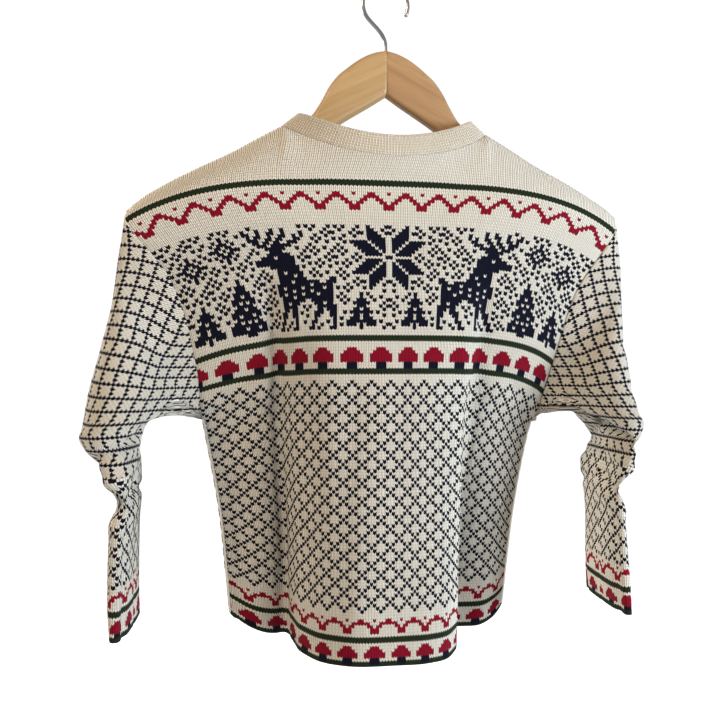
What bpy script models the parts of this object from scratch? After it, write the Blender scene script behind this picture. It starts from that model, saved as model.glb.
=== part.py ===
"""A child's knitted cardigan on a wooden hanger, in metres, +Z up.

The garment faces -Y, its back faces +Y, and +X is the wearer's left.  The origin is the point
where a rail bears on the inside of the hook.  The cloth is a 2.4 mm wall.  Each knitted piece is
worked out as a sheet of outer points.  All the sheets share their seam points, so the walls meet
in a mitre, and each one then stands back from its seams by half of the seam gap.
"""

import math
from collections import defaultdict, namedtuple

import bmesh
import bpy
import numpy as np

MM = 0.001

WALL = 2.4 * MM
SEAM_GAP = 0.3 * MM
# How much longer than the wall's thickness a mitred corner may be, and the sharpest turn that
# counts towards it.
MITRE_LIMIT = 1.5
SHARPEST_TURN = 0.2
# A smooth surface's faces meet at less than this, so only real edges are shaded sharp.
SHARP_EDGE = math.radians(50)

# The hanger: two mitred arms and a wire hook.
ARM_THICKNESS = 14.0 * MM
ARM_REACH = 211.0 * MM
ARM_END_SHARE = 0.72
ARM_SQUARENESS = 0.9
ARM_SIDES = 12
CLOTH_OVER_WOOD = 1.2 * MM
NECK_STANDS_OFF = 2.4 * MM
NECK_EASE_LENGTH = 40.0 * MM
HOOK_WIRE_RADIUS = 1.75 * MM
HOOK_INNER_RADIUS = 19.0 * MM
HOOK_BORE_RADIUS = 2.1 * MM
HOOK_BORE_TOP = -50.0 * MM
HOOK_BORE_END = -84.0 * MM
HOOK_SHANK_TOP = -57.0 * MM
HOOK_BEND_REACH = 11.0 * MM
HOOK_START = math.radians(-42)
HOOK_TURN = math.radians(247)

# Neck, bands and buttons.
SHOULDER_TIP_LEFT = 228.0 * MM
SHOULDER_TIP_RIGHT = 219.0 * MM
NECK_AT_CREST = 94.0 * MM
BACK_NECK_DEPTH = 42.0 * MM
BACK_NECK_HEIGHT = -165.0 * MM
FRONT_NECK_DEPTH = -56.0 * MM
FRONT_NECK_HEIGHT = -222.0 * MM
NECK_ROUNDNESS = 0.62
BACK_NECK_ROUNDNESS = 0.85
FRONT_NECK_ROUNDNESS = 1.1
NECK_CROWDING = 1.6
NECKBAND_HEIGHT = 19.0 * MM
# The height share of the neckband's row just above its seam, and its lean from upright in the
# middle of the back, added at the crest and added at the front, as sines.
NECKBAND_LOW_ROW = 0.22
LEAN_AT_BACK = 0.12
LEAN_AT_CREST = 0.66
LEAN_AT_FRONT = 0.1
NECK_TO_YOKE = 15.0 * MM
RIB_PITCH = 2.8 * MM
RIB_RISE = 0.7 * MM
BAND_HALF_WIDTH = 13.0 * MM
BAND_RIBS = 9
BAND_CLEARANCE = 0.5 * MM
TUCK_REACH = 34.0 * MM
TUCK_IN_FRONT_OF = -40.0 * MM
BUTTONS = 6
TOP_BUTTON_INSET = 11.0 * MM
LOW_BUTTON_INSET = 16.0 * MM
BUTTON_RADIUS = 8.0 * MM
BUTTON_THICKNESS = 2.6 * MM
BUTTON_HOLE_RADIUS = 1.0 * MM
BUTTON_HOLE_SPREAD = 1.9 * MM

# How the levels bow between their edges, and how fast the neck's rows give way to the crest's.
SWEEP_POWER = 2.4
CREST_POWER = 8

# The sheets' meshes.
BACK_COLUMNS = 38
BACK_NECK_COLUMNS = 8
FRONT_COLUMNS = 19
FRONT_NECK_COLUMNS = 8
SPANS = (1, 1, 2, 3, 4, 2, 1, 4, 4)
ARMHOLE_SPANS = 7
SLEEVE_SPANS = (3, 2, 2, 2, 2, 2, 2, 3, 3, 1)

Profile = namedtuple("Profile", "across top bottom")
# One row for each place along a hanger arm, in mm: its top and bottom edges.
ARM = (
    Profile(0, -61, -103),
    Profile(12, -64, -111),
    Profile(24, -70, -118.5),
    Profile(36, -79, -126),
    Profile(45, -87, -132),
    Profile(53, -98, -137.5),
    Profile(60, -111, -142.5),
    Profile(67, -122, -147),
    Profile(77, -130.5, -153.5),
    Profile(94, -139, -162.5),
    Profile(116, -150, -174),
    Profile(144, -165, -188),
    Profile(170, -178, -200),
    Profile(198, -193.5, -212.5),
    Profile(213, -203, -219),
    Profile(228, -215, -227),
)

Step = namedtuple("Step", "depth drop")
# The two rows next to the crest, in mm: how far back and down the cloth is as it turns over the
# arm, and their shares of the way from neck seam to yoke where there is no arm.
CREST_STEPS = (Step(6.8, 2.2), Step(13.5, 7.5))
NECK_STEPS = (0.18, 0.42)
CREST_ROOM = 24.0 * MM
LEAST_CREST_SHARE = 0.42

Level = namedtuple("Level", "name left right edge_y middle_y middle_z left_z right_z round fold")
# One row for each level of the back, in mm: where its two edges lie, how far its middle stands
# back, the heights of middle and edges, how late the row turns down to them, and how much of the
# hem's folds it has.
BACK_LEVELS = (
    Level("yoke", 229, -218, 11.5, 38, -188, -222, -221, 4, 0.0),
    Level("chest", 189, -181, 10, 42, -258, -275, -277, 4, 0.05),
    Level("toadstools", 170, -163, 2, 45, -322, -343, -344, 4, 0.2),
    Level("underarm", 165, -152, -8, 47, -371, -386, -391, 4, 0.38),
    Level("armpit", 164, -149, -18, 47, -384, -396, -402, 4, 0.42),
    Level("waist", 149, -135, -28, 48, -484, -481, -483, 5, 0.78),
    Level("hem", 140, -124, -36, 48, -603, -574, -578, 6, 1.0),
)
FRONT_LEVELS = (
    Level("yoke", 229, -218, -11.5, -54, -196, -222, -221, 4, 0.0),
    Level("chest", 189, -181, -22, -63, -262, -275, -277, 4, 0.0),
    Level("toadstools", 170, -163, -30, -72, -326, -343, -344, 4, 0.15),
    Level("underarm", 165, -152, -30, -77, -375, -386, -391, 4, 0.31),
    Level("armpit", 164, -149, -18, -79, -388, -396, -402, 4, 0.35),
    Level("waist", 149, -135, -28, -85, -486, -481, -483, 5, 0.7),
    Level("hem", 140, -124, -36, -92, -598, -574, -578, 6, 1.0),
)

Wale = namedtuple("Wale", "name share gathered depth")
# One row for each lengthwise line of the back: its share of the flat half width, its share of
# the half width at the hem, and how far back it stands there, in mm.
BACK_WALES = (
    Wale("edge_right", -1.00, -1.00, -36),
    Wale("lobe_right", -0.82, -0.83, -32),
    Wale("fold_right", -0.62, -0.585, -40),
    Wale("crown_right", -0.40, -0.50, 12),
    Wale("brow_right", -0.22, -0.31, 42),
    Wale("middle", 0.00, 0.02, 48),
    Wale("brow_left", 0.26, 0.35, 39),
    Wale("crown_left", 0.46, 0.56, 8),
    Wale("fold_left", 0.69, 0.67, -40),
    Wale("lobe_left", 0.86, 0.88, -27),
    Wale("edge_left", 1.00, 1.00, -36),
)
# The same for each front, from its band to its side seam.
FRONT_WALES = (
    Wale("band", 0.00, 0.00, -92),
    Wale("brow", 0.22, 0.23, -97),
    Wale("crown", 0.42, 0.46, -80),
    Wale("fold", 0.62, 0.65, -49),
    Wale("lobe", 0.84, 0.90, -62),
    Wale("edge", 1.00, 1.00, -36),
)

MIRRORED_FRONT_WALES = tuple(
    Wale(wale.name, -wale.share, -wale.gathered, wale.depth) for wale in FRONT_WALES[::-1]
)

Ring = namedtuple("Ring", "name outer_z left right inner_z inner_left inner_right back front tilt")
# One row for each ring of the sleeves, in mm: the height and reach of its outer side, of its
# side towards the body, how far it stands back and forward, and how much its near side drops.
SLEEVE_RINGS = (
    Ring("cap", -252, 232, 220, -394, 171, 157, 21, -32, 0),
    Ring("upper", -296, 237, 218, -390, 182, 167, 32, -39, 0),
    Ring("bend", -336, 246, 221, -389, 195, 183, 41, -44, 0),
    Ring("above_elbow", -378, 258, 228, -394, 208, 199, 47, -47, 0),
    Ring("elbow", -412, 263, 233, -411, 216, 210, 50, -49, 0),
    Ring("crook", -436, 251, 226, -434, 220, 210, 49, -50, 2),
    Ring("crumple", -453, 238, 215, -452, 217, 200, 47, -49, 3),
    Ring("forearm", -485, 239, 220, -485, 220, 203, 50, -50, 2),
    Ring("wrist", -545, 238, 224, -545, 222, 207, 50, -50, 0),
    Ring("cuff", -570, 236, 224, -570, 222, 210, 50, -50, 0),
)
ROUND_SQUARENESS = 0.9
FLAT_SQUARENESS = 0.55
ROUND_HALF_WIDTH = 30 * MM
ARMPIT_RINGS = 5
# How far each lower sleeve is turned from edge on: its drift outwards for each step back.
SLEEVE_TURN_LEFT = 0.11
SLEEVE_TURN_RIGHT = -0.06
TURNING_HEIGHT = 190 * MM


def along(knots, values, at):
    """Reads a smooth curve through values, given at knots, at each place in at."""
    knots = np.asarray(knots, float)
    values = np.asarray(values, float)
    slopes = np.gradient(values, knots, axis=0)
    spot = np.clip(np.searchsorted(knots, at, side="right") - 1, 0, len(knots) - 2)
    step = knots[spot + 1] - knots[spot]
    share = (np.asarray(at) - knots[spot]) / step
    rest = (slice(None),) + (None,) * (values.ndim - 1)
    share, step = share[rest], step[rest]
    rise = share * share * (3 - 2 * share)
    start = values[spot] * (1 - rise) + slopes[spot] * step * share * (1 - share) ** 2
    end = values[spot + 1] * rise - slopes[spot + 1] * step * share * share * (1 - share)
    return start + end


def flow(control, spans):
    """Runs smooth lines down through rows of control points, with spans steps between rows."""
    control = np.asarray(control, float)
    gaps = np.sqrt(np.linalg.norm(np.diff(control, axis=0), axis=2)) + 1e-6
    knots = np.vstack([np.zeros(control.shape[1]), np.cumsum(gaps, axis=0)])
    lines = []
    for column in range(control.shape[1]):
        at = [
            knots[row, column] + gaps[row, column] * step / count
            for row, count in enumerate(spans)
            for step in range(count)
        ]
        at.append(knots[-1, column])
        lines.append(along(knots[:, column], control[:, column], np.array(at)))
    return np.array(lines).transpose(1, 0, 2)


def arm_edges(across):
    """The heights of an arm's top and bottom edges at distances from the middle."""
    reach = [row.across * MM for row in ARM]
    edges = [(row.top * MM, row.bottom * MM) for row in ARM]
    return along(reach, edges, np.atleast_1d(across))


def crest_height(across):
    """The height of the cloth's outer crest on the arm, a little higher beside the neck."""
    near_neck = np.clip(1 - (np.atleast_1d(across) - NECK_AT_CREST) / NECK_EASE_LENGTH, 0, 1)
    stand = WALL + CLOTH_OVER_WOOD + NECK_STANDS_OFF * near_neck
    return arm_edges(across)[:, 0] + stand


def level_points(level, wales, shares, near):
    """The points of one level at the given shares of the half width, measured from near."""
    knots = [wale.share for wale in wales]
    gathered = along(knots, [wale.gathered for wale in wales], shares)
    folded = along(knots, [wale.depth * MM for wale in wales], shares)
    reach = shares + (gathered - shares) * level.fold
    on_left = reach > 0
    half_width = np.where(on_left, level.left, -level.right) * MM - near
    across = np.sign(reach) * near + reach * half_width
    sweep = (level.middle_y - level.edge_y) * (1 - np.abs(shares) ** SWEEP_POWER)
    smooth = (level.edge_y + sweep) * MM
    depth = smooth + (folded - smooth) * level.fold
    edge_z = np.where(on_left, level.left_z, level.right_z)
    height = (level.middle_z + (edge_z - level.middle_z) * np.abs(shares) ** level.round) * MM
    return np.stack([across, depth, height], axis=1)


def crest_rows(top, yoke, turn, in_neck, facing):
    """The top edge and the two rows below it: over the arm, or under the neck seam."""
    near_crest = np.where(in_neck, turn**CREST_POWER, 1.0)[:, None]
    room = np.clip((top[:, 2] - yoke[:, 2]) / CREST_ROOM, LEAST_CREST_SHARE, 1)[:, None]
    rows = [top]
    for step, share in zip(CREST_STEPS, NECK_STEPS):
        on_arm = top + np.array([0, facing * step.depth, -step.drop]) * MM * room
        at_neck = top + (yoke - top) * share
        rows.append(at_neck + (on_arm - at_neck) * near_crest)
    return rows


def neck_shares(columns, neck_columns):
    """Shares of a half width for the column edges, set closer where the neck nears the crest."""
    neck_share = neck_columns / columns
    neck = (1 - (1 - np.linspace(0, 1, neck_columns + 1)) ** NECK_CROWDING) * neck_share
    rest = np.linspace(neck_share, 1, columns - neck_columns + 1)
    return np.append(neck, rest[1:]), neck_share


def neck_seam(turn, middle, depth, low, roundness):
    """The neck seam from the middle to the crest, for turn from 0 to 1."""
    left_over = 1 - turn * turn
    high = crest_height(NECK_AT_CREST)[0]
    return np.stack(
        [
            middle + (NECK_AT_CREST - middle) * turn,
            depth * left_over**NECK_ROUNDNESS,
            high + (low - high) * left_over**roundness,
        ],
        axis=1,
    )


def back_sheet():
    """The back's outer points: rows from shoulder and neck to hem, columns from right to left."""
    half, neck_share = neck_shares(BACK_COLUMNS // 2, BACK_NECK_COLUMNS)
    shares = np.append(-half[:0:-1], half)
    turn = np.clip(np.abs(shares) / neck_share, 0, 1)
    in_neck = np.abs(shares) < neck_share - 1e-9
    past_neck = np.clip((np.abs(shares) - neck_share) / (1 - neck_share), 0, 1)
    tip = np.where(shares > 0, SHOULDER_TIP_LEFT, SHOULDER_TIP_RIGHT)
    crest_x = NECK_AT_CREST + (tip - NECK_AT_CREST) * past_neck
    top = np.stack([crest_x, np.zeros_like(shares), crest_height(crest_x)], axis=1)
    neck = neck_seam(turn, 0.0, BACK_NECK_DEPTH, BACK_NECK_HEIGHT, BACK_NECK_ROUNDNESS)
    top[in_neck] = neck[in_neck]
    top[:, 0] *= np.sign(shares)
    levels = [level_points(level, BACK_WALES, shares, 0.0) for level in BACK_LEVELS]
    rows = crest_rows(top, levels[0], turn, in_neck, 1) + levels
    return flow(rows, SPANS)


def front_sheet(side, back):
    """One front's outer points: rows from the top to the hem, columns from band to side seam."""
    shares, neck_share = neck_shares(FRONT_COLUMNS, FRONT_NECK_COLUMNS)
    turn = np.clip(shares / neck_share, 0, 1)
    in_neck = shares < neck_share - 1e-9
    past_neck = np.clip((shares - neck_share) / (1 - neck_share), 0, 1)
    tip = SHOULDER_TIP_LEFT if side > 0 else SHOULDER_TIP_RIGHT
    crest_x = NECK_AT_CREST + (tip - NECK_AT_CREST) * past_neck
    top = np.stack([crest_x, np.zeros_like(shares), crest_height(crest_x)], axis=1)
    low = FRONT_NECK_HEIGHT
    neck = neck_seam(turn, BAND_HALF_WIDTH, FRONT_NECK_DEPTH, low, FRONT_NECK_ROUNDNESS)
    top[in_neck] = neck[in_neck]
    top[:, 0] *= side
    levels = []
    for level in FRONT_LEVELS:
        row = level_points(level, FRONT_WALES, shares, BAND_HALF_WIDTH)
        if side < 0:
            row = level_points(level, MIRRORED_FRONT_WALES, -shares, BAND_HALF_WIDTH)
        row[0, 0] = side * BAND_HALF_WIDTH
        levels.append(row)
    yoke, chest = levels[:2]
    sink = (yoke[:, 2] - top[:, 2] + NECK_TO_YOKE) / (yoke[:, 2] - chest[:, 2])
    levels[0] = yoke + (chest - yoke) * np.clip(sink, 0, 1)[:, None]
    rows = crest_rows(top, levels[0], turn, in_neck, -1) + levels
    sheet = flow(rows, SPANS)
    armpit = sum(SPANS[:ARMHOLE_SPANS])
    sheet[armpit:, -1] = back[armpit:, -1 if side > 0 else 0]
    return sheet if side > 0 else sheet[:, ::-1]


def armhole_ring(back, front, side):
    """The armhole's points from the shoulder's tip down the back, and up the front again."""
    rows = sum(SPANS[:ARMHOLE_SPANS])
    down = back[: rows + 1, -1 if side > 0 else 0]
    up = front[1:rows, -1 if side > 0 else 0][::-1]
    return np.vstack([down, up])


def sleeve_sheet(back, front, side):
    """One sleeve's outer points: rows from armhole to cuff, columns round from tip to tip."""
    armhole = armhole_ring(back, front, side)
    count = len(armhole)
    half = count // 2
    closed = np.vstack([armhole, armhole[:1]])
    steps = np.linalg.norm(np.diff(closed, axis=0), axis=1)
    down = np.cumsum(np.append(0, steps[:half])) / steps[:half].sum()
    up = np.cumsum(np.append(0, steps[half:])) / steps[half:].sum()
    angle = np.append(down[:-1], 1 + up[:-1]) * math.pi
    rings = [armhole]
    for index, row in enumerate(SLEEVE_RINGS, 1):
        outer = np.array([row.left if side > 0 else -row.right, 0, row.outer_z]) * MM
        inner_x = row.inner_left if side > 0 else -row.inner_right
        inner = np.array([inner_x, 0, row.inner_z]) * MM
        inner[1] = armhole[half, 1] * max(0, 1 - index / ARMPIT_RINGS)
        half_width = np.linalg.norm(outer - inner) / 2
        squareness = np.clip(half_width / ROUND_HALF_WIDTH, FLAT_SQUARENESS, ROUND_SQUARENESS)
        out = np.sign(np.cos(angle)) * np.abs(np.cos(angle)) ** squareness
        back_share = np.sign(np.sin(angle)) * np.abs(np.sin(angle)) ** ROUND_SQUARENESS
        ring = (outer + inner) / 2 + out[:, None] * (outer - inner) / 2
        reach = np.where(back_share > 0, row.back, -row.front) * MM
        ring[:, 1] += back_share * reach
        turn = SLEEVE_TURN_LEFT if side > 0 else -SLEEVE_TURN_RIGHT
        turned = np.clip((armhole[0, 2] - row.outer_z * MM) / TURNING_HEIGHT, 0, 1)
        ring[:, 0] += back_share * reach * turn * turned
        ring[:, 2] -= back_share * row.tilt * MM
        rings.append(ring)
    sheet = flow(rings, SLEEVE_SPANS)
    sheet = np.concatenate([sheet, sheet[:, :1]], axis=1)
    return sheet if side > 0 else sheet[:, ::-1]


def grid_faces(rows, columns):
    """The four-cornered faces of a grid of points, wound so that the outer side faces out."""
    faces = []
    for row in range(rows - 1):
        for column in range(columns - 1):
            corner = row * columns + column
            faces.append((corner, corner + columns, corner + columns + 1, corner + 1))
    return np.array(faces)


def key(point):
    """Names a place to a hundredth of a millimetre, so that shared seam points are one."""
    return tuple(np.round(point * 1e5).astype(int))


def shared_normals(sheets):
    """The outward directions at all places, smoothed across the seams that sheets share."""
    total = defaultdict(lambda: np.zeros(3))
    directions = defaultdict(list)
    for sheet in sheets:
        rows, columns = sheet.shape[:2]
        points = sheet.reshape(-1, 3)
        for face in grid_faces(rows, columns):
            a, b, c, d = points[face]
            cross = np.cross(c - a, d - b)
            size = np.linalg.norm(cross)
            if size < 1e-12:
                continue
            for corner in face:
                total[key(points[corner])] += cross
                directions[key(points[corner])].append(cross / size)
    normals = {}
    for place, cross in total.items():
        normal = cross / np.linalg.norm(cross)
        facing = np.mean([max(turn @ normal, SHARPEST_TURN) for turn in directions[place]])
        normals[place] = normal * min(1 / facing, MITRE_LIMIT)
    return normals


def step_back(sheet, sides):
    """Moves a sheet's seam edges into it by half of the seam gap."""
    moved = sheet.copy()
    half = SEAM_GAP / 2

    def towards(edge, inside):
        way = inside - edge
        length = np.linalg.norm(way, axis=-1, keepdims=True)
        return way / np.maximum(length, 1e-9) * half

    if "top" in sides:
        moved[0] += towards(sheet[0], sheet[1])
    if "bottom" in sides:
        moved[-1] += towards(sheet[-1], sheet[-2])
    if "first" in sides:
        moved[:, 0] += towards(sheet[:, 0], sheet[:, 1])
    if "last" in sides:
        moved[:, -1] += towards(sheet[:, -1], sheet[:, -2])
    return moved


def as_object(name, vertices, faces, material):
    """Makes a closed object from points and faces, with its faces turned out."""
    mesh = bpy.data.meshes.new(name)
    mesh.from_pydata([tuple(float(x) for x in point) for point in vertices], [], faces)
    work = bmesh.new()
    work.from_mesh(mesh)
    bmesh.ops.remove_doubles(work, verts=work.verts, dist=1e-6)
    bmesh.ops.dissolve_degenerate(work, edges=work.edges, dist=1e-7)
    bmesh.ops.triangulate(work, faces=work.faces)
    bmesh.ops.recalc_face_normals(work, faces=work.faces)
    work.to_mesh(mesh)
    work.free()
    mesh.materials.append(material)
    mesh.shade_smooth()
    mesh.set_sharp_from_angle(angle=SHARP_EDGE)
    placed = bpy.data.objects.new(name, mesh)
    bpy.context.collection.objects.link(placed)
    return placed


def rim(loop_outer, loop_inner):
    """The faces between two matching closed loops of point numbers."""
    count = len(loop_outer)
    return [
        (loop_outer[i], loop_outer[(i + 1) % count], loop_inner[(i + 1) % count], loop_inner[i])
        for i in range(count)
    ]


def cloth_piece(name, sheet, sides, normals, material, tube=False):
    """Gives a sheet its wall: outer points, inner points and the rims that close it."""
    rows, columns = sheet.shape[:2]
    outward = np.array([normals[key(p)] for p in sheet.reshape(-1, 3)]).reshape(sheet.shape)
    outer = step_back(sheet, sides)
    inner = outer - outward * WALL
    if tube:
        outer[:, -1] = outer[:, 0]
        inner[:, -1] = inner[:, 0]
    points = np.vstack([outer.reshape(-1, 3), inner.reshape(-1, 3)])
    offset = rows * columns
    outer_faces = [tuple(face) for face in grid_faces(rows, columns)]
    inner_faces = [tuple(corner + offset for corner in face[::-1]) for face in outer_faces]
    top = list(range(columns))
    bottom = [(rows - 1) * columns + column for column in range(columns)]
    if tube:
        loops = [top[:-1], bottom[:-1]]
    else:
        right = [row * columns + columns - 1 for row in range(1, rows)]
        left = [row * columns for row in range(rows - 2, 0, -1)]
        loops = [top + right + bottom[-2::-1] + left]
    rims = [face for loop in loops for face in rim(loop, [i + offset for i in loop])]
    return as_object(name, points, outer_faces + inner_faces + rims, material)


def neck_points(back, left, right):
    """The neck seam's points from the left band round the back to the right band."""
    middle = BACK_COLUMNS // 2
    left_part = left[0, : FRONT_NECK_COLUMNS + 1]
    back_part = back[0, middle - BACK_NECK_COLUMNS : middle + BACK_NECK_COLUMNS + 1][::-1]
    right_part = right[0, FRONT_COLUMNS - FRONT_NECK_COLUMNS :]
    return np.vstack([left_part, back_part[1:], right_part[1:]])


def neckband_sheet(seam):
    """The neckband's outer points in three rows, top to seam, from left band to right band."""
    side = (np.abs(seam[:, 0]) / NECK_AT_CREST) ** 5
    inward = seam * np.array([-1, -1, 0])
    inward /= np.linalg.norm(inward, axis=1, keepdims=True)
    front = np.clip(seam[:, 1] / FRONT_NECK_DEPTH, 0, 1)
    lean = LEAN_AT_BACK + LEAN_AT_CREST * side + LEAN_AT_FRONT * front
    rise = np.sqrt(1 - lean**2)
    direction = inward * lean[:, None] + np.array([0, 0, 1]) * rise[:, None]
    run = np.gradient(seam, axis=0)
    run /= np.linalg.norm(run, axis=1, keepdims=True)
    direction -= run * (direction * run).sum(axis=1, keepdims=True)
    direction /= np.linalg.norm(direction, axis=1, keepdims=True)
    direction[0, :2] = (0, direction[0, 1])
    direction[-1, :2] = (0, direction[-1, 1])
    low = seam + direction * NECKBAND_HEIGHT * NECKBAND_LOW_ROW
    top = seam + direction * NECKBAND_HEIGHT
    return np.stack([top, low, seam])


def neckband(seam_sheet, normals, material):
    """The neckband: fine upright ribs raised outside, a plain wall inside."""
    top, low, seam = step_back(seam_sheet, ("bottom", "first", "last"))
    outward = np.array([normals[key(p)] for p in seam_sheet[2]])
    lengths = np.append(0, np.cumsum(np.linalg.norm(np.diff(low, axis=0), axis=1)))
    ribs = 2 * round(lengths[-1] / RIB_PITCH / 2)
    at = np.linspace(0, lengths[-1], 2 * ribs + 1)
    inner_at = at[::4]
    raised = np.where(np.arange(len(at)) % 2 == 1, RIB_RISE / 2, -RIB_RISE / 2)
    raised[[0, -1]] = 0
    up = np.array([normals[key(p)] for p in seam_sheet[1]])
    up_fine = along(lengths, up, at)
    up_fine /= np.linalg.norm(up_fine, axis=1, keepdims=True)
    low_fine = along(lengths, low, at) + up_fine * raised[:, None]
    top_fine = along(lengths, top, at) + up_fine * raised[:, None]
    inner_top = along(lengths, top - up * WALL, inner_at)
    inner_seam = seam - outward * WALL
    points = np.vstack([top_fine, low_fine, seam, inner_seam, inner_top])
    fine, coarse = len(at), len(seam)
    low_start = fine
    seam_start = 2 * fine
    inner_start = seam_start + coarse
    inner_top_start = inner_start + coarse
    faces = []
    for i in range(fine - 1):
        faces.append((i, low_start + i, low_start + i + 1, i + 1))
    faces += zip_rows(low_start, at, seam_start, lengths)
    faces += zip_rows(0, at, inner_top_start, inner_at)
    faces += zip_rows(inner_top_start, inner_at, inner_start, lengths)
    for i in range(coarse - 1):
        faces.append((seam_start + i, inner_start + i, inner_start + i + 1, seam_start + i + 1))
    last_top = inner_top_start + len(inner_at) - 1
    for end_fine, end, end_top in ((0, 0, inner_top_start), (fine - 1, coarse - 1, last_top)):
        faces.append((end_fine, end_top, inner_start + end))
        faces.append((end_fine, inner_start + end, seam_start + end))
        faces.append((end_fine, seam_start + end, low_start + end_fine))
    return as_object("neckband", points, faces, material)


def zip_rows(first, fine_at, start, coarse_at):
    """Three-cornered faces between a fine row of points and a coarse one."""
    faces = []
    i = j = 0
    while i < len(fine_at) - 1 or j < len(coarse_at) - 1:
        fine_next = fine_at[i + 1] if i < len(fine_at) - 1 else math.inf
        coarse_next = coarse_at[j + 1] if j < len(coarse_at) - 1 else math.inf
        if fine_next <= coarse_next + 1e-9:
            faces.append((first + i, start + j, first + i + 1))
            i += 1
        else:
            faces.append((first + i, start + j, start + j + 1))
            j += 1
    return faces


def band_spine(sheet, neck_top):
    """The line down the middle of the front that the bands follow, from neckband top to hem."""
    line = np.vstack([neck_top[None, :], sheet[:, 0]])
    line[:, 0] = 0
    lengths = np.append(0, np.cumsum(np.linalg.norm(np.diff(line, axis=0), axis=1)))
    at = np.linspace(0, lengths[-1], 19)
    spine = along(lengths, line, at)
    slope = np.gradient(spine, at, axis=0)
    outward = np.stack([np.zeros(len(at)), slope[:, 2], -slope[:, 1]], axis=1)
    outward /= np.linalg.norm(outward, axis=1, keepdims=True)
    return spine, outward, at


def button_band(name, spine, outward, half_width, lift, ribs, rise, material):
    """A band: its section of outer ribs over a plain inside, carried down the spine."""
    across = np.linspace(-half_width, half_width, 2 * ribs + 1)
    raised = np.where(np.arange(len(across)) % 2 == 1, rise, 0.0)
    inner = np.linspace(half_width, -half_width, 3)
    section = np.vstack([np.stack([across, raised + lift], 1), np.stack([inner, inner * 0], 1)])
    section[len(across) :, 1] = lift - WALL
    count = len(section)
    points = []
    for place, out in zip(spine, outward):
        for x, y in section:
            points.append(place + np.array([x, 0, 0]) + out * y)
    faces = []
    for row in range(len(spine) - 1):
        for i in range(count):
            a, b = row * count + i, row * count + (i + 1) % count
            faces.append((a, b, b + count, a + count))
    faces.append(tuple(range(count))[::-1])
    faces.append(tuple((len(spine) - 1) * count + i for i in range(count)))
    return as_object(name, points, faces, material)


def button(name, place, outward, material):
    """A round four-hole button, flat against the ribs of the upper band."""
    work = bmesh.new()
    edges = []
    circles = [(0.0, 0.0, BUTTON_RADIUS, 20)]
    spread = BUTTON_HOLE_SPREAD
    for x, y in ((1, 1), (-1, 1), (-1, -1), (1, -1)):
        circles.append((x * spread, y * spread, BUTTON_HOLE_RADIUS, 6))
    for x, y, radius, sides in circles:
        ring = [
            work.verts.new(
                (
                    x + radius * math.cos(2 * math.pi * i / sides),
                    y + radius * math.sin(2 * math.pi * i / sides),
                    0,
                )
            )
            for i in range(sides)
        ]
        edges += [work.edges.new((ring[i], ring[(i + 1) % sides])) for i in range(sides)]
    filled = bmesh.ops.triangle_fill(work, edges=edges, use_beauty=True, normal=(0, 0, 1))
    faces = [g for g in filled["geom"] if isinstance(g, bmesh.types.BMFace)]
    raised = bmesh.ops.extrude_face_region(work, geom=faces)
    moved = [g for g in raised["geom"] if isinstance(g, bmesh.types.BMVert)]
    bmesh.ops.translate(work, verts=moved, vec=(0, 0, BUTTON_THICKNESS))
    bmesh.ops.recalc_face_normals(work, faces=work.faces)
    mesh = bpy.data.meshes.new(name)
    work.to_mesh(mesh)
    work.free()
    mesh.materials.append(material)
    placed = bpy.data.objects.new(name, mesh)
    bpy.context.collection.objects.link(placed)
    tilt = math.atan2(-outward[1], outward[2])
    placed.rotation_euler = (tilt, 0, 0)
    placed.location = place
    return placed


def hanger_arm(name, side, material):
    """One wooden arm: rounded sections along its length, bored for the hook at the mitre."""
    at = np.append(np.linspace(SEAM_GAP / 2, 70 * MM, 9), np.linspace(78 * MM, ARM_REACH, 9))
    edges = arm_edges(at)
    half = ARM_THICKNESS / 2
    turns = [2 * math.pi * (i + 0.5) / ARM_SIDES for i in range(ARM_SIDES)]
    points = []
    for index, (across, (top, bottom)) in enumerate(zip(at, edges)):
        rounding = min(half, (top - bottom) / 2)
        taper = 1.0 if index < len(at) - 1 else ARM_END_SHARE
        for turn in turns:
            edge = top - rounding if math.sin(turn) > 0 else bottom + rounding
            out = math.copysign(abs(math.cos(turn)) ** ARM_SQUARENESS, math.cos(turn))
            depth = half * taper * out
            drop = rounding * taper * math.sin(turn)
            points.append((side * across, depth, edge + drop))
    count = len(turns)
    faces = []
    for row in range(len(at) - 1):
        for i in range(count):
            a, b = row * count + i, row * count + (i + 1) % count
            faces.append((a, b, b + count, a + count))
    faces.append(tuple(range(count))[::-1])
    faces.append(tuple((len(at) - 1) * count + i for i in range(count)))
    arm = as_object(name, points, faces, material)
    bore = bpy.data.objects.get("hook_bore") or hook_bore()
    cut = arm.modifiers.new("hook bore", "BOOLEAN")
    cut.object = bore
    cut.operation = "DIFFERENCE"
    return arm


def hook_bore():
    """The cutter for the blind bore that the hook's shank goes into."""
    work = bmesh.new()
    bmesh.ops.create_cone(
        work,
        cap_ends=True,
        segments=12,
        radius1=HOOK_BORE_RADIUS,
        radius2=HOOK_BORE_RADIUS,
        depth=HOOK_BORE_TOP - HOOK_BORE_END,
    )
    mesh = bpy.data.meshes.new("hook_bore")
    work.to_mesh(mesh)
    work.free()
    bore = bpy.data.objects.new("hook_bore", mesh)
    bore.location = (0, 0, (HOOK_BORE_TOP + HOOK_BORE_END) / 2)
    bore.hide_render = True
    bore.display_type = "WIRE"
    bpy.context.collection.objects.link(bore)
    return bore


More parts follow.
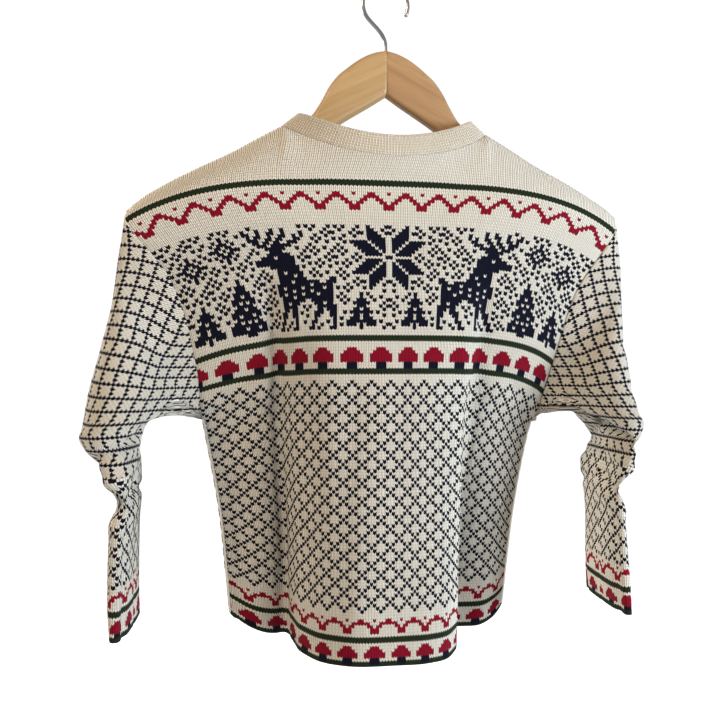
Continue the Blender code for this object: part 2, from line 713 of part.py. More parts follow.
def hook(material):
    """The wire hook: a straight shank, a short bend out, and two thirds of a turn over it."""
    radius = HOOK_INNER_RADIUS + HOOK_WIRE_RADIUS

    def on_turn(angle):
        return np.array([radius * math.cos(angle), 0, radius * math.sin(angle) - HOOK_INNER_RADIUS])

    shank_top = np.array([0, 0, HOOK_SHANK_TOP])
    path = [np.array([0, 0, HOOK_BORE_END + SEAM_GAP]), shank_top]
    leave = shank_top + np.array([0, 0, HOOK_BEND_REACH])
    heading = np.array([-math.sin(HOOK_START), 0, math.cos(HOOK_START)])
    arrive = on_turn(HOOK_START) - heading * HOOK_BEND_REACH
    for step in range(1, 7):
        u = step / 7
        bend = shank_top * (1 - u) ** 3 + 3 * leave * u * (1 - u) ** 2
        path.append(bend + 3 * arrive * u * u * (1 - u) + on_turn(HOOK_START) * u**3)
    for step in range(19):
        path.append(on_turn(HOOK_START + HOOK_TURN * step / 18))
    curve = bpy.data.curves.new("hanger_hook", "CURVE")
    curve.dimensions = "3D"
    curve.bevel_depth = HOOK_WIRE_RADIUS
    curve.bevel_resolution = 2
    curve.use_fill_caps = True
    spline = curve.splines.new("POLY")
    spline.points.add(len(path) - 1)
    for point, place in zip(spline.points, path):
        point.co = (*place, 1)
    curve.materials.append(material)
    placed = bpy.data.objects.new("hanger_hook", curve)
    bpy.context.collection.objects.link(placed)
    return placed


def finish(name, colour, roughness, metallic=0.0):
    """A plain material."""
    material = bpy.data.materials.new(name)
    material.use_nodes = True
    shader = material.node_tree.nodes["Principled BSDF"]
    shader.inputs["Base Color"].default_value = (*colour, 1)
    shader.inputs["Roughness"].default_value = roughness
    shader.inputs["Metallic"].default_value = metallic
    return material


def tuck(sheet):
    """Sinks the right front's edge under the upper band, by a wall and its clearance."""
    near = np.clip(1 - (np.abs(sheet[..., 0]) - BAND_HALF_WIDTH) / TUCK_REACH, 0, 1)
    ease = near * near * (3 - 2 * near)
    moved = sheet.copy()
    moved[..., 1] += (WALL + BAND_CLEARANCE) * ease * (sheet[..., 1] < TUCK_IN_FRONT_OF)
    return moved


def build():
    """Builds the garment and its hanger."""
    for old in list(bpy.data.objects):
        bpy.data.objects.remove(old)
    cream = finish("cream wool", (0.80, 0.74, 0.62), 0.9)
    rib = finish("cream rib", (0.83, 0.77, 0.65), 0.9)
    wood = finish("light wood", (0.60, 0.38, 0.18), 0.45)
    steel = finish("steel", (0.62, 0.62, 0.62), 0.3, 1.0)
    navy = finish("navy button", (0.02, 0.025, 0.09), 0.35)

    back = back_sheet()
    left = front_sheet(1, back)
    right = tuck(front_sheet(-1, back))
    left_sleeve = sleeve_sheet(back, left, 1)
    right_sleeve = sleeve_sheet(back, right, -1)
    seam = neck_points(back, left, right)
    collar = neckband_sheet(seam)
    sheets = [back[:, ::-1], left, right, left_sleeve, right_sleeve, collar]
    normals = shared_normals(sheets)
    cloth_piece("back", back[:, ::-1], ("top", "first", "last"), normals, cream)
    cloth_piece("front_left", left, ("top", "first", "last"), normals, cream)
    cloth_piece("front_right", right, ("top", "first", "last"), normals, cream)
    cloth_piece("sleeve_left", left_sleeve, ("top",), normals, cream, tube=True)
    cloth_piece("sleeve_right", right_sleeve, ("top",), normals, cream, tube=True)
    neckband(collar, normals, rib)

    spine, outward, at = band_spine(left, collar[0, 0])
    edge_gap = SEAM_GAP / 2
    upper = BAND_HALF_WIDTH - edge_gap
    button_band("button_band_left", spine, outward, upper, 0.0, BAND_RIBS, RIB_RISE, rib)
    sunk = -(WALL + BAND_CLEARANCE)
    button_band("button_band_right", spine, outward, upper, sunk, 1, 0.0, rib)
    spacing = np.linspace(at[0] + TOP_BUTTON_INSET, at[-1] - LOW_BUTTON_INSET, BUTTONS)
    places = along(at, spine, spacing)
    facing = along(at, outward, spacing)
    for number, (place, out) in enumerate(zip(places, facing), 1):
        out = out / np.linalg.norm(out)
        button(f"button_{number}", place + out * (RIB_RISE + SEAM_GAP), out, navy)

    hanger_arm("hanger_arm_left", 1, wood)
    hanger_arm("hanger_arm_right", -1, wood)
    hook(steel)


build()
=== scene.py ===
import functools
import math
from collections import namedtuple

import bmesh
import bpy
import numpy as np
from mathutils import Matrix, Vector


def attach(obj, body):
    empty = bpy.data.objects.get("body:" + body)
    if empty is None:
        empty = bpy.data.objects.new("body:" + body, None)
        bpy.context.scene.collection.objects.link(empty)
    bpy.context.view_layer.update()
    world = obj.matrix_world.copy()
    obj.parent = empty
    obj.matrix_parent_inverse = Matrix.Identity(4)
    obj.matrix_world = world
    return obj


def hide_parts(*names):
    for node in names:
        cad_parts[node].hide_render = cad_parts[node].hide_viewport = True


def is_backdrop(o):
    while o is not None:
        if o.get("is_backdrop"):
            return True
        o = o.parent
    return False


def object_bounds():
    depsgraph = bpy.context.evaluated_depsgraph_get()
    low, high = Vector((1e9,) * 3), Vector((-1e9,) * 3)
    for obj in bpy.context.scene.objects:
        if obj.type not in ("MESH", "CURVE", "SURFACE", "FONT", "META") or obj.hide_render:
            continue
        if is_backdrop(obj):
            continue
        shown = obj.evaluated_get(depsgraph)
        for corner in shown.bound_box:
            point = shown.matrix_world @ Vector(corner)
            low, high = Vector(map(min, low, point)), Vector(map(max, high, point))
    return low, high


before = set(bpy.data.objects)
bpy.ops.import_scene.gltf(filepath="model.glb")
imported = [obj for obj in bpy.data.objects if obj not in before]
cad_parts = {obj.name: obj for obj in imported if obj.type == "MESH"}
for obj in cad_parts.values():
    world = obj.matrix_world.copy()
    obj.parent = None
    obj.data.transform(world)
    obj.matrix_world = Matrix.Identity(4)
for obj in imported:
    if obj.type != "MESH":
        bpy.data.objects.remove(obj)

cad_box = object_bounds()

# The back.  One width of stranded knitting in cream, navy, crimson and bottle green wool, linked
# to the fronts at the shoulders and sides.  Every stitch is a chevron of its own, and it hangs
# from the hanger's arms in two long soft folds.
MM = 0.001
CLOTH = 2.2 * MM
ROW_HEIGHT = 2.62 * MM
BACK_HALF_STITCHES = 65
BACK_HALF_WIDTH = 229 * MM
CHEVRON = 0.5
NAVY_SPREAD = 0.14
RIDGE = 0.22 * MM
UNEVENNESS = 0.05 * MM
SEAM_SINK = 0.5 * MM
HEM_ROW = 168
ARMPIT_ROW = 84
SAMPLES = 420


def table(kind, text):
    """Reads a table of numbers, one row to a line, into rows of one kind."""
    return [kind(*map(float, line.split())) for line in text.strip().splitlines()]


Profile = namedtuple("Profile", "across top bottom")
# One row for each place along a hanger arm, in mm: its top and bottom edges.
ARM = table(Profile, """
0 -61 -103
12 -64 -111
24 -70 -118.5
36 -79 -126
45 -87 -132
53 -98 -137.5
60 -111 -142.5
67 -122 -147
77 -130.5 -153.5
94 -139 -162.5
116 -150 -174
144 -165 -188
170 -178 -200
198 -193.5 -212.5
213 -203 -219
228 -215 -227
""")
CLOTH_OVER_WOOD = 3.6 * MM
NECK_STANDS_OFF = 2.4 * MM
NECK_EASE_LENGTH = 40 * MM
NECK_AT_CREST = 94 * MM
NECK_SHARE = 8 / 19
# The back's neck seam: where its middle lies across, back and up, and how round it is.
BACK_NECK = (0.0, 42 * MM, -165 * MM, 0.85)
# The two rows below a crest: how far out and down each lies in mm, or its share of a neck's fall.
# They lie closer where the first level is less than their room below.
CREST_ROWS = ((6.8, 2.2, 0.18), (13.5, 7.5, 0.42))
CREST_ROOM = 24 * MM
TIP_LEFT = 228 * MM
TIP_RIGHT = 219 * MM

Level = namedtuple(
    "Level", "row left right edge_y middle_y middle_z left_z right_z round fold drawn"
)
# One row for each level of the back: its row of knitting, then in mm where its edges lie, how far
# its middle stands back, the heights of middle and edges, how late it turns down, how deep its
# folds are, and how far its wales are drawn together.
BACK_LEVELS = (
    Level(9, 229, -218, 11.5, 38, -188, -222, -221, 4, 0.0, 0.0),
    Level(35.6, 189, -181, 10, 42, -258, -275, -277, 4, 0.04, 0.15),
    Level(60, 170, -163, 2, 45, -322, -343, -344, 4, 0.18, 0.8),
    Level(79, 165, -152, -8, 47, -371, -386, -391, 4, 0.36, 1.0),
    Level(ARMPIT_ROW, 164, -149, -18, 47, -384, -396, -402, 4, 0.41, 1.0),
    Level(122, 149, -135, -28, 48, -484, -481, -483, 5, 0.78, 1.0),
    Level(HEM_ROW, 140, -124, -36, 48, -603, -574, -578, 6, 1.0, 1.0),
)
OFF_CENTRE = 0.026

Wale = namedtuple("Wale", "share high gathered depth")
# One row for each lengthwise line of the back: its share of the flat half width, its share below
# the armpits and at the hem, and how far back it stands at the hem, in mm.
BACK_WALES = table(Wale, """
-1 -1 -1 -36
-0.88 -0.9 -0.9 -33
-0.76 -0.79 -0.78 -34
-0.64 -0.67 -0.635 -42
-0.56 -0.59 -0.575 -34
-0.49 -0.51 -0.52 0
-0.42 -0.445 -0.465 22
-0.35 -0.365 -0.4 36
-0.21 -0.205 -0.235 47
0 0.012 0.02 48
0.21 0.24 0.275 44
0.35 0.39 0.425 32
0.49 0.495 0.52 10
0.61 0.575 0.57 -18
0.72 0.66 0.62 -40
0.86 0.83 0.79 -29
1 1 1 -36
""")
# How much the folds slant, how the plain sheet sweeps to its edges, and from what share of a
# fold's depth, over what share, the wales gather.
FOLD_SLANT = 0.18
SWEEP = 2.4
GATHERS_FROM = 0.42
GATHERS_OVER = 0.58

Crease = namedtuple("Crease", "share row to_share to_row width depth")
CREASE_FADE = 2.2
# One row for each crease: where it starts and ends, as a share of the half width
# and a row, its half width and depth in mm.  It fades over a few of its half widths.
BACK_CREASES = table(Crease, """
-0.52 50 -0.62 168 8 -3.2
-0.4 58 -0.48 168 9 2
0.6 50 0.72 168 9 -3.6
0.48 60 0.54 168 12 2
-0.94 84 -0.62 66 7 -1.8
0.95 82 0.66 62 8 -1.6
-0.96 92 -0.68 84 8 -1.5
0.96 94 0.7 86 8 -1.4
-0.3 8 -0.12 30 14 -1
0.33 8 0.15 34 14 -1
-0.25 96 -0.15 150 16 -1.6
0.18 90 0.28 156 16 -1.4
0.02 74 0.04 130 18 1.2
-0.86 110 -0.8 160 10 1.4
0.84 112 0.9 164 10 1.5
""")

ZIGZAG = """
r...rr...
...rrrr..
..rr..rr.
.rr....rr
rr......r
rr......r
""".split()
HEM_ZIGZAG = """
r...rr...
..rrrrrr.
.rr....rr
rr......r
rr......r
""".split()
TOADSTOOL = """
...rrr...
..rrrrr..
.rrrrrrr.
.rrrrrrr.
.rrrrrrr.
...nnn...
...nnn...
""".split()
HEM_TOADSTOOL = """
...rrr...
..rrrrr..
.rrrrrrr.
.rrrrrrr.
...nnn...
gggnnnggg
""".split()
STRIPE = ("g", "g")
LATTICE = """
n.....
.n...n
..n.n.
...n..
..n.n.
.n...n
""".split()
REINDEER = """
..............n..n...n...n.
.........n....n..nn..n..nn.
.........n.n..nn..n..nn.n..
..........nn...nn.nn..nnn..
...........nnn..nn.nn.nn...
.............nnnnnn.nnn....
...............nnnnnn......
................nnnn.......
..............nnnnnnn......
.............nnnnn.nnnn....
.............nnnnnnnnnnnn..
.............nnnnnnnnnnnn..
............nnnnnnnnn......
............nnnnnnn........
...........nnnnn.nn........
...........nn.nnnnn........
.nn.......nnnnnnnnn........
.nnn..nnnnnnnn.nnnn........
..nnnnnn.nnnnnnnnnnn.......
..nn.nnnnnn.nnnnn.nn.......
..nnnnnn.nnnnn.nnnnn.......
..nnnn.nnnn.nnnnn.nn.......
..nnnnnnnnnnnn.nnnn........
..nnnnnnn..nnnnnnnn........
..nn.nnn.....nnn.nn........
.nnnnnn.......nnnnn........
.nnn.nn.......nn.nn........
.nn..nnn......nn..nn.......
.nn...nn......nn..nn.......
.n.....n......n....n.......
.n.....nn.....n....nn......
.n......n.....n.....n......
.nn.....nn....nn....nn.....
""".split()
TALL_FIR = """
.....n.....
.....n.....
....nnn....
....nnn....
...nnnnn...
...nn.nn...
..nnnnnnn..
..nn.n.nn..
...nnnnn...
..nnn.nnn..
.nnnnnnnnn.
.nn.nnn.nn.
..nnnnnnn..
.nn.n.n.nn.
nnnnnnnnnnn
nn.nnn.nnnn
nnnnnnnnnnn
....nnn....
""".split()
LOW_FIR = """
....n....
....n....
...nnn...
..nnnnn..
...nnn...
..nn.nn..
.nnnnnnn.
..nn.nn..
.nnn.nnn.
nnnnnnnnn
nnn.n.nnn
....n....
""".split()
SNOWFLAKE = """
....n....
..n.n.n..
.n.nnn.n.
..nn.nn..
nnn.n.nnn
..nn.nn..
.n.nnn.n.
..n.n.n..
....n....
""".split()
SNOW = """
.n...n..
n.n....n
.n..n...
...n.n.n
.n..n...
......n.
..n..n.n
n...n.n.
""".split()

Band = namedtuple("Band", "row chart start")
# One row for each patterned band of the body: its first row of knitting, its chart, and a stitch
# at which the chart starts.
BODY_BANDS = (
    Band(8, STRIPE, 0),
    Band(12, ZIGZAG, 0),
    Band(59, STRIPE, 0),
    Band(63, TOADSTOOL, 2),
    Band(70, STRIPE, 0),
    Band(74, (13 * LATTICE)[:76], 0),
    Band(152, HEM_ZIGZAG, 4),
    Band(158, STRIPE, 0),
    Band(161, HEM_TOADSTOOL, 0),
    Band(167, STRIPE[:1], 0),
)

Motif = namedtuple("Motif", "chart middle row")
# One row for each figure between the zigzag and the toadstools, on each half of the body.
FIGURES = (
    Motif(LOW_FIR, 8, 45),
    Motif(REINDEER, 28, 24),
    Motif(TALL_FIR, 47, 39),
    Motif(SNOWFLAKE, 47, 25),
    Motif(SNOWFLAKE, 58, 29),
    Motif(LOW_FIR, 59, 45),
)
# The star stands in the middle, and snow falls on the field wherever no figure is near.
STAR_ROW = 33
STAR_PETAL = 5
FIELD_FIRST, FIELD_END = 22, 58


def along(knots, values, at):
    """Reads a smooth curve through values, given at knots, at each place in at."""
    knots = np.asarray(knots, float)
    values = np.asarray(values, float)
    slopes = np.gradient(values, knots, axis=0)
    spot = np.clip(np.searchsorted(knots, at, side="right") - 1, 0, len(knots) - 2)
    step = knots[spot + 1] - knots[spot]
    share = (np.asarray(at) - knots[spot]) / step
    rest = (slice(None),) + (None,) * (values.ndim - 1)
    share, step = share[rest], step[rest]
    rise = share * share * (3 - 2 * share)
    start = values[spot] * (1 - rise) + slopes[spot] * step * share * (1 - share) ** 2
    end = values[spot + 1] * rise - slopes[spot + 1] * step * share * share * (1 - share)
    return start + end


def smooth(share):
    """An even start and end between 0 and 1."""
    held = np.clip(share, 0, 1)
    return held * held * (3 - 2 * held)


def run_along(line):
    """How far along a line each of its points lies."""
    return np.append(0, np.cumsum(np.linalg.norm(np.diff(line, axis=0), axis=1)))


def between(at, knots, line):
    """The points on a line of straight steps, given at knots, at each place in at."""
    return np.stack([np.interp(at, knots, line[:, axis]) for axis in range(3)], 1)


def unit(vectors):
    """The same directions with a length of one."""
    return vectors / np.linalg.norm(vectors, axis=-1, keepdims=True)


def arm_edges(across):
    """The heights of a hanger arm's top and bottom edges at distances from the middle."""
    reach = [row.across * MM for row in ARM]
    edges = [(row.top * MM, row.bottom * MM) for row in ARM]
    return along(reach, edges, np.atleast_1d(across))


def crest_height(across):
    """The height of the cloth over the arm, a little higher beside the neck."""
    near_neck = np.clip(1 - (np.atleast_1d(across) - NECK_AT_CREST) / NECK_EASE_LENGTH, 0, 1)
    return arm_edges(across)[:, 0] + CLOTH_OVER_WOOD + NECK_STANDS_OFF * near_neck


def level_points(level, wales, shares, near):
    """The points of one level at the given shares of the half width, measured from near."""
    knots, high, gathered, depths = np.transpose(wales)
    gathered = along(knots, gathered, shares)
    high = along(knots, high, shares)
    low_share = max(0.0, level.fold - GATHERS_FROM) / GATHERS_OVER
    slant = 1 + FOLD_SLANT * (1 - low_share) * (near == 0)
    folded = along(knots, depths * MM, np.clip(shares * slant, -1, 1))
    reach = shares + (high - shares) * level.drawn + (gathered - high) * low_share
    on_left = reach > 0
    half_width = np.where(on_left, level.left, -level.right) * MM - near
    across = np.sign(reach) * near + reach * half_width
    sweep = (level.middle_y - level.edge_y) * (1 - np.abs(shares) ** SWEEP)
    plain = (level.edge_y + sweep) * MM
    depth = plain + (folded - plain) * level.fold
    edge_z = np.where(on_left, level.left_z, level.right_z)
    height = (level.middle_z + (edge_z - level.middle_z) * np.abs(shares) ** level.round) * MM
    return np.stack([across, depth, height], axis=1)


def crest_rows(top, yoke, turn, in_neck, facing):
    """The top edge and the two rows below it: over the arm, or under the neck seam."""
    near_crest = np.where(in_neck, turn**8, 1.0)[:, None]
    room = np.clip((top[:, 2] - yoke[:, 2]) / CREST_ROOM, 0.42, 1)[:, None]
    rows = [top]
    for depth, drop, share in CREST_ROWS:
        on_arm = top + np.array([0, facing * depth, -drop]) * MM * room
        at_neck = top + (yoke - top) * share
        rows.append(at_neck + (on_arm - at_neck) * near_crest)
    return rows


def neck_seam(turn, middle, depth, low, roundness):
    """The neck seam from the middle to the crest, for turn from 0 to 1."""
    left_over = 1 - turn * turn
    high = crest_height(NECK_AT_CREST)[0]
    across = middle + (NECK_AT_CREST - middle) * turn
    height = high + (low - high) * left_over**roundness
    return np.stack([across, depth * left_over**0.62, height], axis=1)


def top_edge(shares, tips, sides, neck):
    """A sheet's top edge, over the shoulders and round the neck, and where the neck is."""
    reach = np.abs(shares)
    turn = np.clip(reach / NECK_SHARE, 0, 1)
    in_neck = reach < NECK_SHARE - 1e-9
    past_neck = np.clip((reach - NECK_SHARE) / (1 - NECK_SHARE), 0, 1)
    crest_x = NECK_AT_CREST + (tips - NECK_AT_CREST) * past_neck
    top = np.stack([crest_x, np.zeros_like(shares), crest_height(crest_x)], axis=1)
    top[in_neck] = neck_seam(turn, *neck)[in_neck]
    top[:, 0] *= sides
    return top, turn, in_neck


def back_lines(shares):
    """The back's lines of control points, from the shoulder and the neck to the hem."""
    tips = np.where(shares > 0, TIP_LEFT, TIP_RIGHT)
    top, turn, in_neck = top_edge(shares, tips, np.sign(shares), BACK_NECK)
    hung = shares + OFF_CENTRE * (1 - shares**2)
    levels = [level_points(level, BACK_WALES, hung, 0.0) for level in BACK_LEVELS]
    return np.array(crest_rows(top, levels[0], turn, in_neck, 1) + levels)


def fall(control, rows, known=slice(3, None)):
    """Lets smooth lines fall through the control points, whose known ones have the given rows of
    knitting.  Gives the points at even steps down each line, and each line's first row."""
    gaps = np.sqrt(np.linalg.norm(np.diff(control, axis=0), axis=2)) + 1e-6
    knots = np.vstack([np.zeros(control.shape[1]), np.cumsum(gaps, axis=0)])
    points = []
    firsts = []
    for column, knot in enumerate(knots.T):
        at = np.unique(np.append(np.linspace(0, knot[-1], SAMPLES), knot))
        line = along(knot, control[:, column], at)
        run = run_along(line)
        run_at_rows = np.interp(knot[known], at, run)
        number = np.interp(run, run_at_rows, rows[:, column])
        over = run < run_at_rows[0]
        number[over] = rows[0, column] - (run_at_rows[0] - run[over]) / ROW_HEIGHT
        points.append(between(np.linspace(number[0], number[-1], SAMPLES), number, line))
        firsts.append(number[0])
    return np.array(points).transpose(1, 0, 2), np.array(firsts)


def facing_out(points, closed=False):
    """The unit normals of a grid of points."""
    down = np.gradient(points, axis=0)
    if closed:
        wrapped = np.concatenate([points[:, -2:-1], points, points[:, 1:2]], axis=1)
        across = (wrapped[:, 2:] - wrapped[:, :-2]) / 2
    else:
        across = np.gradient(points, axis=1)
    normal = np.cross(down, across)
    length = np.linalg.norm(normal, axis=2, keepdims=True)
    return normal / np.maximum(length, 1e-12)


def lay_creases(row, last_row, shares, creases, half_width):
    """How far creases push each point of a sheet outwards, given its rows of knitting.  A crease
    that reaches the last row runs out over the edge."""
    pushed = np.zeros(row.shape)
    for crease in creases:
        across = (shares[None, :] - crease.share) * half_width
        down = (row - crease.row) * ROW_HEIGHT
        way_across = (crease.to_share - crease.share) * half_width
        way_down = (crease.to_row - crease.row) * ROW_HEIGHT
        length = math.hypot(way_across, way_down)
        run = (across * way_across + down * way_down) / length
        aside = (across * way_down - down * way_across) / length
        width = crease.width * MM
        past_end = np.maximum(-run, run - length) if crease.to_row < last_row else -run
        beyond = np.maximum(past_end, 0) / (CREASE_FADE * width)
        held = np.exp(-beyond * beyond)
        pushed += crease.depth * MM * np.exp(-((aside / width) ** 2)) * held
    return pushed


def shapes_mesh(name, points, faces, uvs, yarn_of_face, materials, welded=False):
    """Makes a closed mesh object with its stitch map and its yarns."""
    mesh = bpy.data.meshes.new(name)
    mesh.from_pydata(np.asarray(points).tolist(), [], faces)
    layer = mesh.uv_layers.new(name="stitches")
    layer.data.foreach_set("uv", np.concatenate(uvs).astype(np.float32).ravel())
    mesh.polygons.foreach_set("material_index", np.array(yarn_of_face, dtype=np.int32))
    mesh.polygons.foreach_set("use_smooth", np.ones(len(faces), dtype=bool))
    work = bmesh.new()
    work.from_mesh(mesh)
    if welded:
        bmesh.ops.remove_doubles(work, verts=work.verts, dist=1e-6)
    bmesh.ops.recalc_face_normals(work, faces=work.faces)
    work.to_mesh(mesh)
    work.free()
    mesh.validate()
    for material in materials:
        mesh.materials.append(material)
    placed = bpy.data.objects.new(name, mesh)
    bpy.context.collection.objects.link(placed)
    return placed


def lace(fine, fine_at, coarse, coarse_at):
    """Three-cornered faces between two rows of vertices, each with its places from 0 to 1."""
    faces = []
    i = j = 0
    while i < len(fine) - 1 or j < len(coarse) - 1:
        fine_next = fine_at[i + 1] if i < len(fine) - 1 else math.inf
        coarse_next = coarse_at[j + 1] if j < len(coarse) - 1 else math.inf
        if fine_next <= coarse_next + 1e-9:
            faces.append((fine[i], coarse[j], fine[i + 1]))
            i += 1
        else:
            faces.append((fine[i], coarse[j], coarse[j + 1]))
            j += 1
    return faces


def knit(name, points, firsts, last_row, first_half, yarn_at, seed, materials, bias=None):
    """Knits a sheet stitch by stitch over a grid of points, from each column's first row: two
    faces to a stitch, which make its chevron, a plain inner side, and the edges between.  With a
    bias, which gives every point its place in the stitches, the rows before row 0 are smooth
    cloth for a material to draw on, and the sheet is welded into a tube."""
    samples, columns = points.shape[:2]
    tube = bias is not None
    normals = facing_out(points, tube)
    halves = first_half + np.arange(columns)
    centred = (halves % 2 != 0).astype(float)
    numbers = np.arange(math.floor(firsts.min()) - 1, last_row + 1)
    modelled = (smooth(numbers / 3.0) if tube else np.ones(len(numbers)))[:, None]
    yarn_grid = np.array([
        [yarn_at(math.floor((half + 0.01) / 2), int(number)) for half in halves[:-1]]
        for number in numbers[:-1]
    ])
    # The navy yarn lies plump over its neighbours, so its stitches are spread a little.
    plump = np.pad(yarn_grid == YARNS.index("n"), 1).astype(float)
    above = np.maximum(plump[:-1, :-1], plump[:-1, 1:])
    below = np.maximum(plump[1:, :-1], plump[1:, 1:])
    before = np.maximum(plump[:-1, :-1], plump[1:, :-1])
    after = np.maximum(plump[:-1, 1:], plump[1:, 1:])
    chevron = CHEVRON * centred * modelled
    row_at = np.clip(numbers[:, None] + chevron, firsts, last_row)
    shown = row_at - chevron
    inside = (row_at > firsts) & (row_at < last_row)
    row_at = row_at + NAVY_SPREAD * (above - below) * inside
    share = (row_at - firsts) / (last_row - firsts)
    place = share * (samples - 1)
    low = np.clip(place.astype(int), 0, samples - 2)
    part = (place - low)[..., None]
    column_at = np.broadcast_to(np.arange(columns), low.shape)

    def at_stitches(grid):
        return grid[low, column_at] * (1 - part) + grid[low + 1, column_at] * part

    outer = at_stitches(points)
    stitch_wide = 2 * np.gradient(outer, axis=1)
    outer = outer + stitch_wide * (NAVY_SPREAD * (before - after))[..., None]
    relief = RIDGE * (2 * centred - 1) * modelled
    relief = relief + np.random.default_rng(seed).normal(0, UNEVENNESS, low.shape)
    edge = smooth(np.minimum(np.arange(columns), columns - 1 - np.arange(columns)) / 4)
    relief = relief * edge - SEAM_SINK * (1 - edge)
    outer = outer + at_stitches(normals) * relief[..., None]

    # Rows above the seam all end in the line's first point.
    started = np.maximum((row_at <= firsts + 1e-9).sum(axis=0) - 1, 0)
    index = np.maximum(np.arange(len(numbers))[:, None], started) * columns + column_at

    faces, uvs, yarns = [], [], []
    places = at_stitches(bias) if tube else None
    for row in range(len(numbers) - 1):
        smooth_cloth = tube and numbers[row] < 0
        for column in range(columns - 1):
            corners = ((row, column), (row + 1, column), (row + 1, column + 1), (row, column + 1))
            ring = []
            ring_uv = []
            for a, b in corners:
                vertex = int(index[a, b])
                if vertex not in ring:
                    ring.append(vertex)
                    ring_uv.append(places[a, b] if smooth_cloth else (halves[b] / 2, -shown[a, b]))
            if len(ring) > 2:
                faces.append(tuple(ring))
                uvs.append(np.array(ring_uv))
                yarns.append(int(yarn_grid[row, column]))

    # The inner side, in the first yarn, one face to two stitches.
    inner_columns = np.unique(np.append(np.arange(0, columns, 4), columns - 1))
    inner_rows = np.unique(np.linspace(0, samples - 1, 64).astype(int))
    inner = points[inner_rows][:, inner_columns] - normals[inner_rows][:, inner_columns] * CLOTH
    offset = len(numbers) * columns
    wide = len(inner_columns)
    inner_index = offset + np.arange(len(inner_rows) * wide).reshape(len(inner_rows), wide)

    def inner_uv(row, column):
        number = firsts[inner_columns[column]]
        number += (last_row - number) * inner_rows[row] / (samples - 1)
        return halves[inner_columns[column]] / 2, -number

    for row in range(len(inner_rows) - 1):
        for column in range(wide - 1):
            corners = ((row, column), (row, column + 1), (row + 1, column + 1), (row + 1, column))
            faces.append(tuple(int(inner_index[a, b]) for a, b in corners))
            uvs.append(np.array([inner_uv(a, b) for a, b in corners]))
            yarns.append(0)

    # The edges: top, hem, and both sides where the sheet isn't a tube.  Only the hem has its own
    # yarn, and all their faces show one leg of one stitch.
    whole = np.linspace(0, 1, columns)
    inner_whole = inner_columns / (columns - 1)
    edges = [(0, index[0], whole, inner_index[0], inner_whole)]
    edges.append((yarn_at(0, last_row - 1), index[-1], whole, inner_index[-1], inner_whole))
    for column in () if tube else (0, -1):
        start = started[column]
        side = (index[start:, column], share[start:, column])
        edges.append((0, *side, inner_index[:, column], inner_rows / (samples - 1)))
    for yarn, fine, fine_at, coarse, coarse_at in edges:
        for face in lace(fine.tolist(), fine_at, coarse.tolist(), coarse_at):
            if len(set(face)) == 3:
                faces.append(face)
                uvs.append(np.array([(0.25, 0.5), (0.3, 0.5), (0.3, 0.6)]))
                yarns.append(yarn)
    vertices = np.vstack([outer.reshape(-1, 3), inner.reshape(-1, 3)])
    used = np.unique(np.concatenate([np.array(face) for face in faces]))
    renumber = np.zeros(len(vertices), dtype=int)
    renumber[used] = np.arange(len(used))
    faces = [tuple(int(renumber[corner]) for corner in face) for face in faces]
    return shapes_mesh(name, vertices[used], faces, uvs, yarns, materials, tube)


def figure_yarn(stitch, row):
    """The yarn of a stitch among the reindeer, in a figure, the star or the ground between."""
    across = stitch if stitch >= 0 else -1 - stitch
    for motif in FIGURES:
        column = across - motif.middle + len(motif.chart[0]) // 2
        line = row - motif.row
        if 0 <= line < len(motif.chart) and 0 <= column < len(motif.chart[0]):
            if motif.chart[line][column] != ".":
                return motif.chart[line][column]
    far, near = abs(across + 0.5), abs(row - STAR_ROW)
    long, short = max(far, near + 0.5), min(far, near + 0.5)
    if max(1, long - STAR_PETAL) <= short <= min(long - 1, STAR_PETAL + 0.5):
        return "n"
    return "."


def band_letter(bands, stitch, row):
    """The yarn of a stitch in the patterned bands, as its letter in the charts."""
    for band in bands:
        if band.row <= row < band.row + len(band.chart):
            line = band.chart[row - band.row]
            return line[(stitch - band.start) % len(line)]
    return "."


def body_letter(stitch, row):
    """The yarn of any stitch of the body, as its letter in the charts."""
    if not FIELD_FIRST <= row < FIELD_END:
        return band_letter(BODY_BANDS, stitch, row)
    near = {figure_yarn(stitch + a, row + b) for a in (-1, 0, 1) for b in (-1, 0, 1)}
    if FIELD_FIRST < row < FIELD_END - 1 and near == {"."}:
        across = stitch if stitch >= 0 else -1 - stitch
        return SNOW[row % len(SNOW)][across % len(SNOW[0])]
    return figure_yarn(stitch, row)


YARNS = ".nrg"


@functools.cache
def body_yarn(stitch, row):
    """The number of the yarn for a stitch of the body."""
    return YARNS.index(body_letter(stitch, row))


def node_maker(tree):
    """Gives short ways to add nodes to one tree, to set or link their sockets, and to reckon."""

    def feed(node, sockets):
        for socket, value in sockets.items():
            if isinstance(value, bpy.types.NodeSocket):
                tree.links.new(value, node.inputs[socket])
            else:
                node.inputs[socket].default_value = value

    def add(kind, sockets, **settings):
        node = tree.nodes.new("ShaderNode" + kind)
        for setting, value in settings.items():
            setattr(node, setting, value)
        feed(node, sockets)
        return node.outputs

    def sum_up(operation, *values):
        return add("Math", dict(enumerate(values)), operation=operation)[0]

    return add, feed, sum_up


def new_group(name, inputs, outputs):
    """An empty shader node group: its tree, its inputs, its output node and its short ways."""
    tree = bpy.data.node_groups.new(name, "ShaderNodeTree")
    for way, sockets in (("INPUT", inputs), ("OUTPUT", outputs)):
        for socket, kind in sockets.items():
            tree.interface.new_socket(socket, in_out=way, socket_type="NodeSocket" + kind)
    given = tree.nodes.new("NodeGroupInput").outputs
    return tree, given, tree.nodes.new("NodeGroupOutput"), *node_maker(tree)


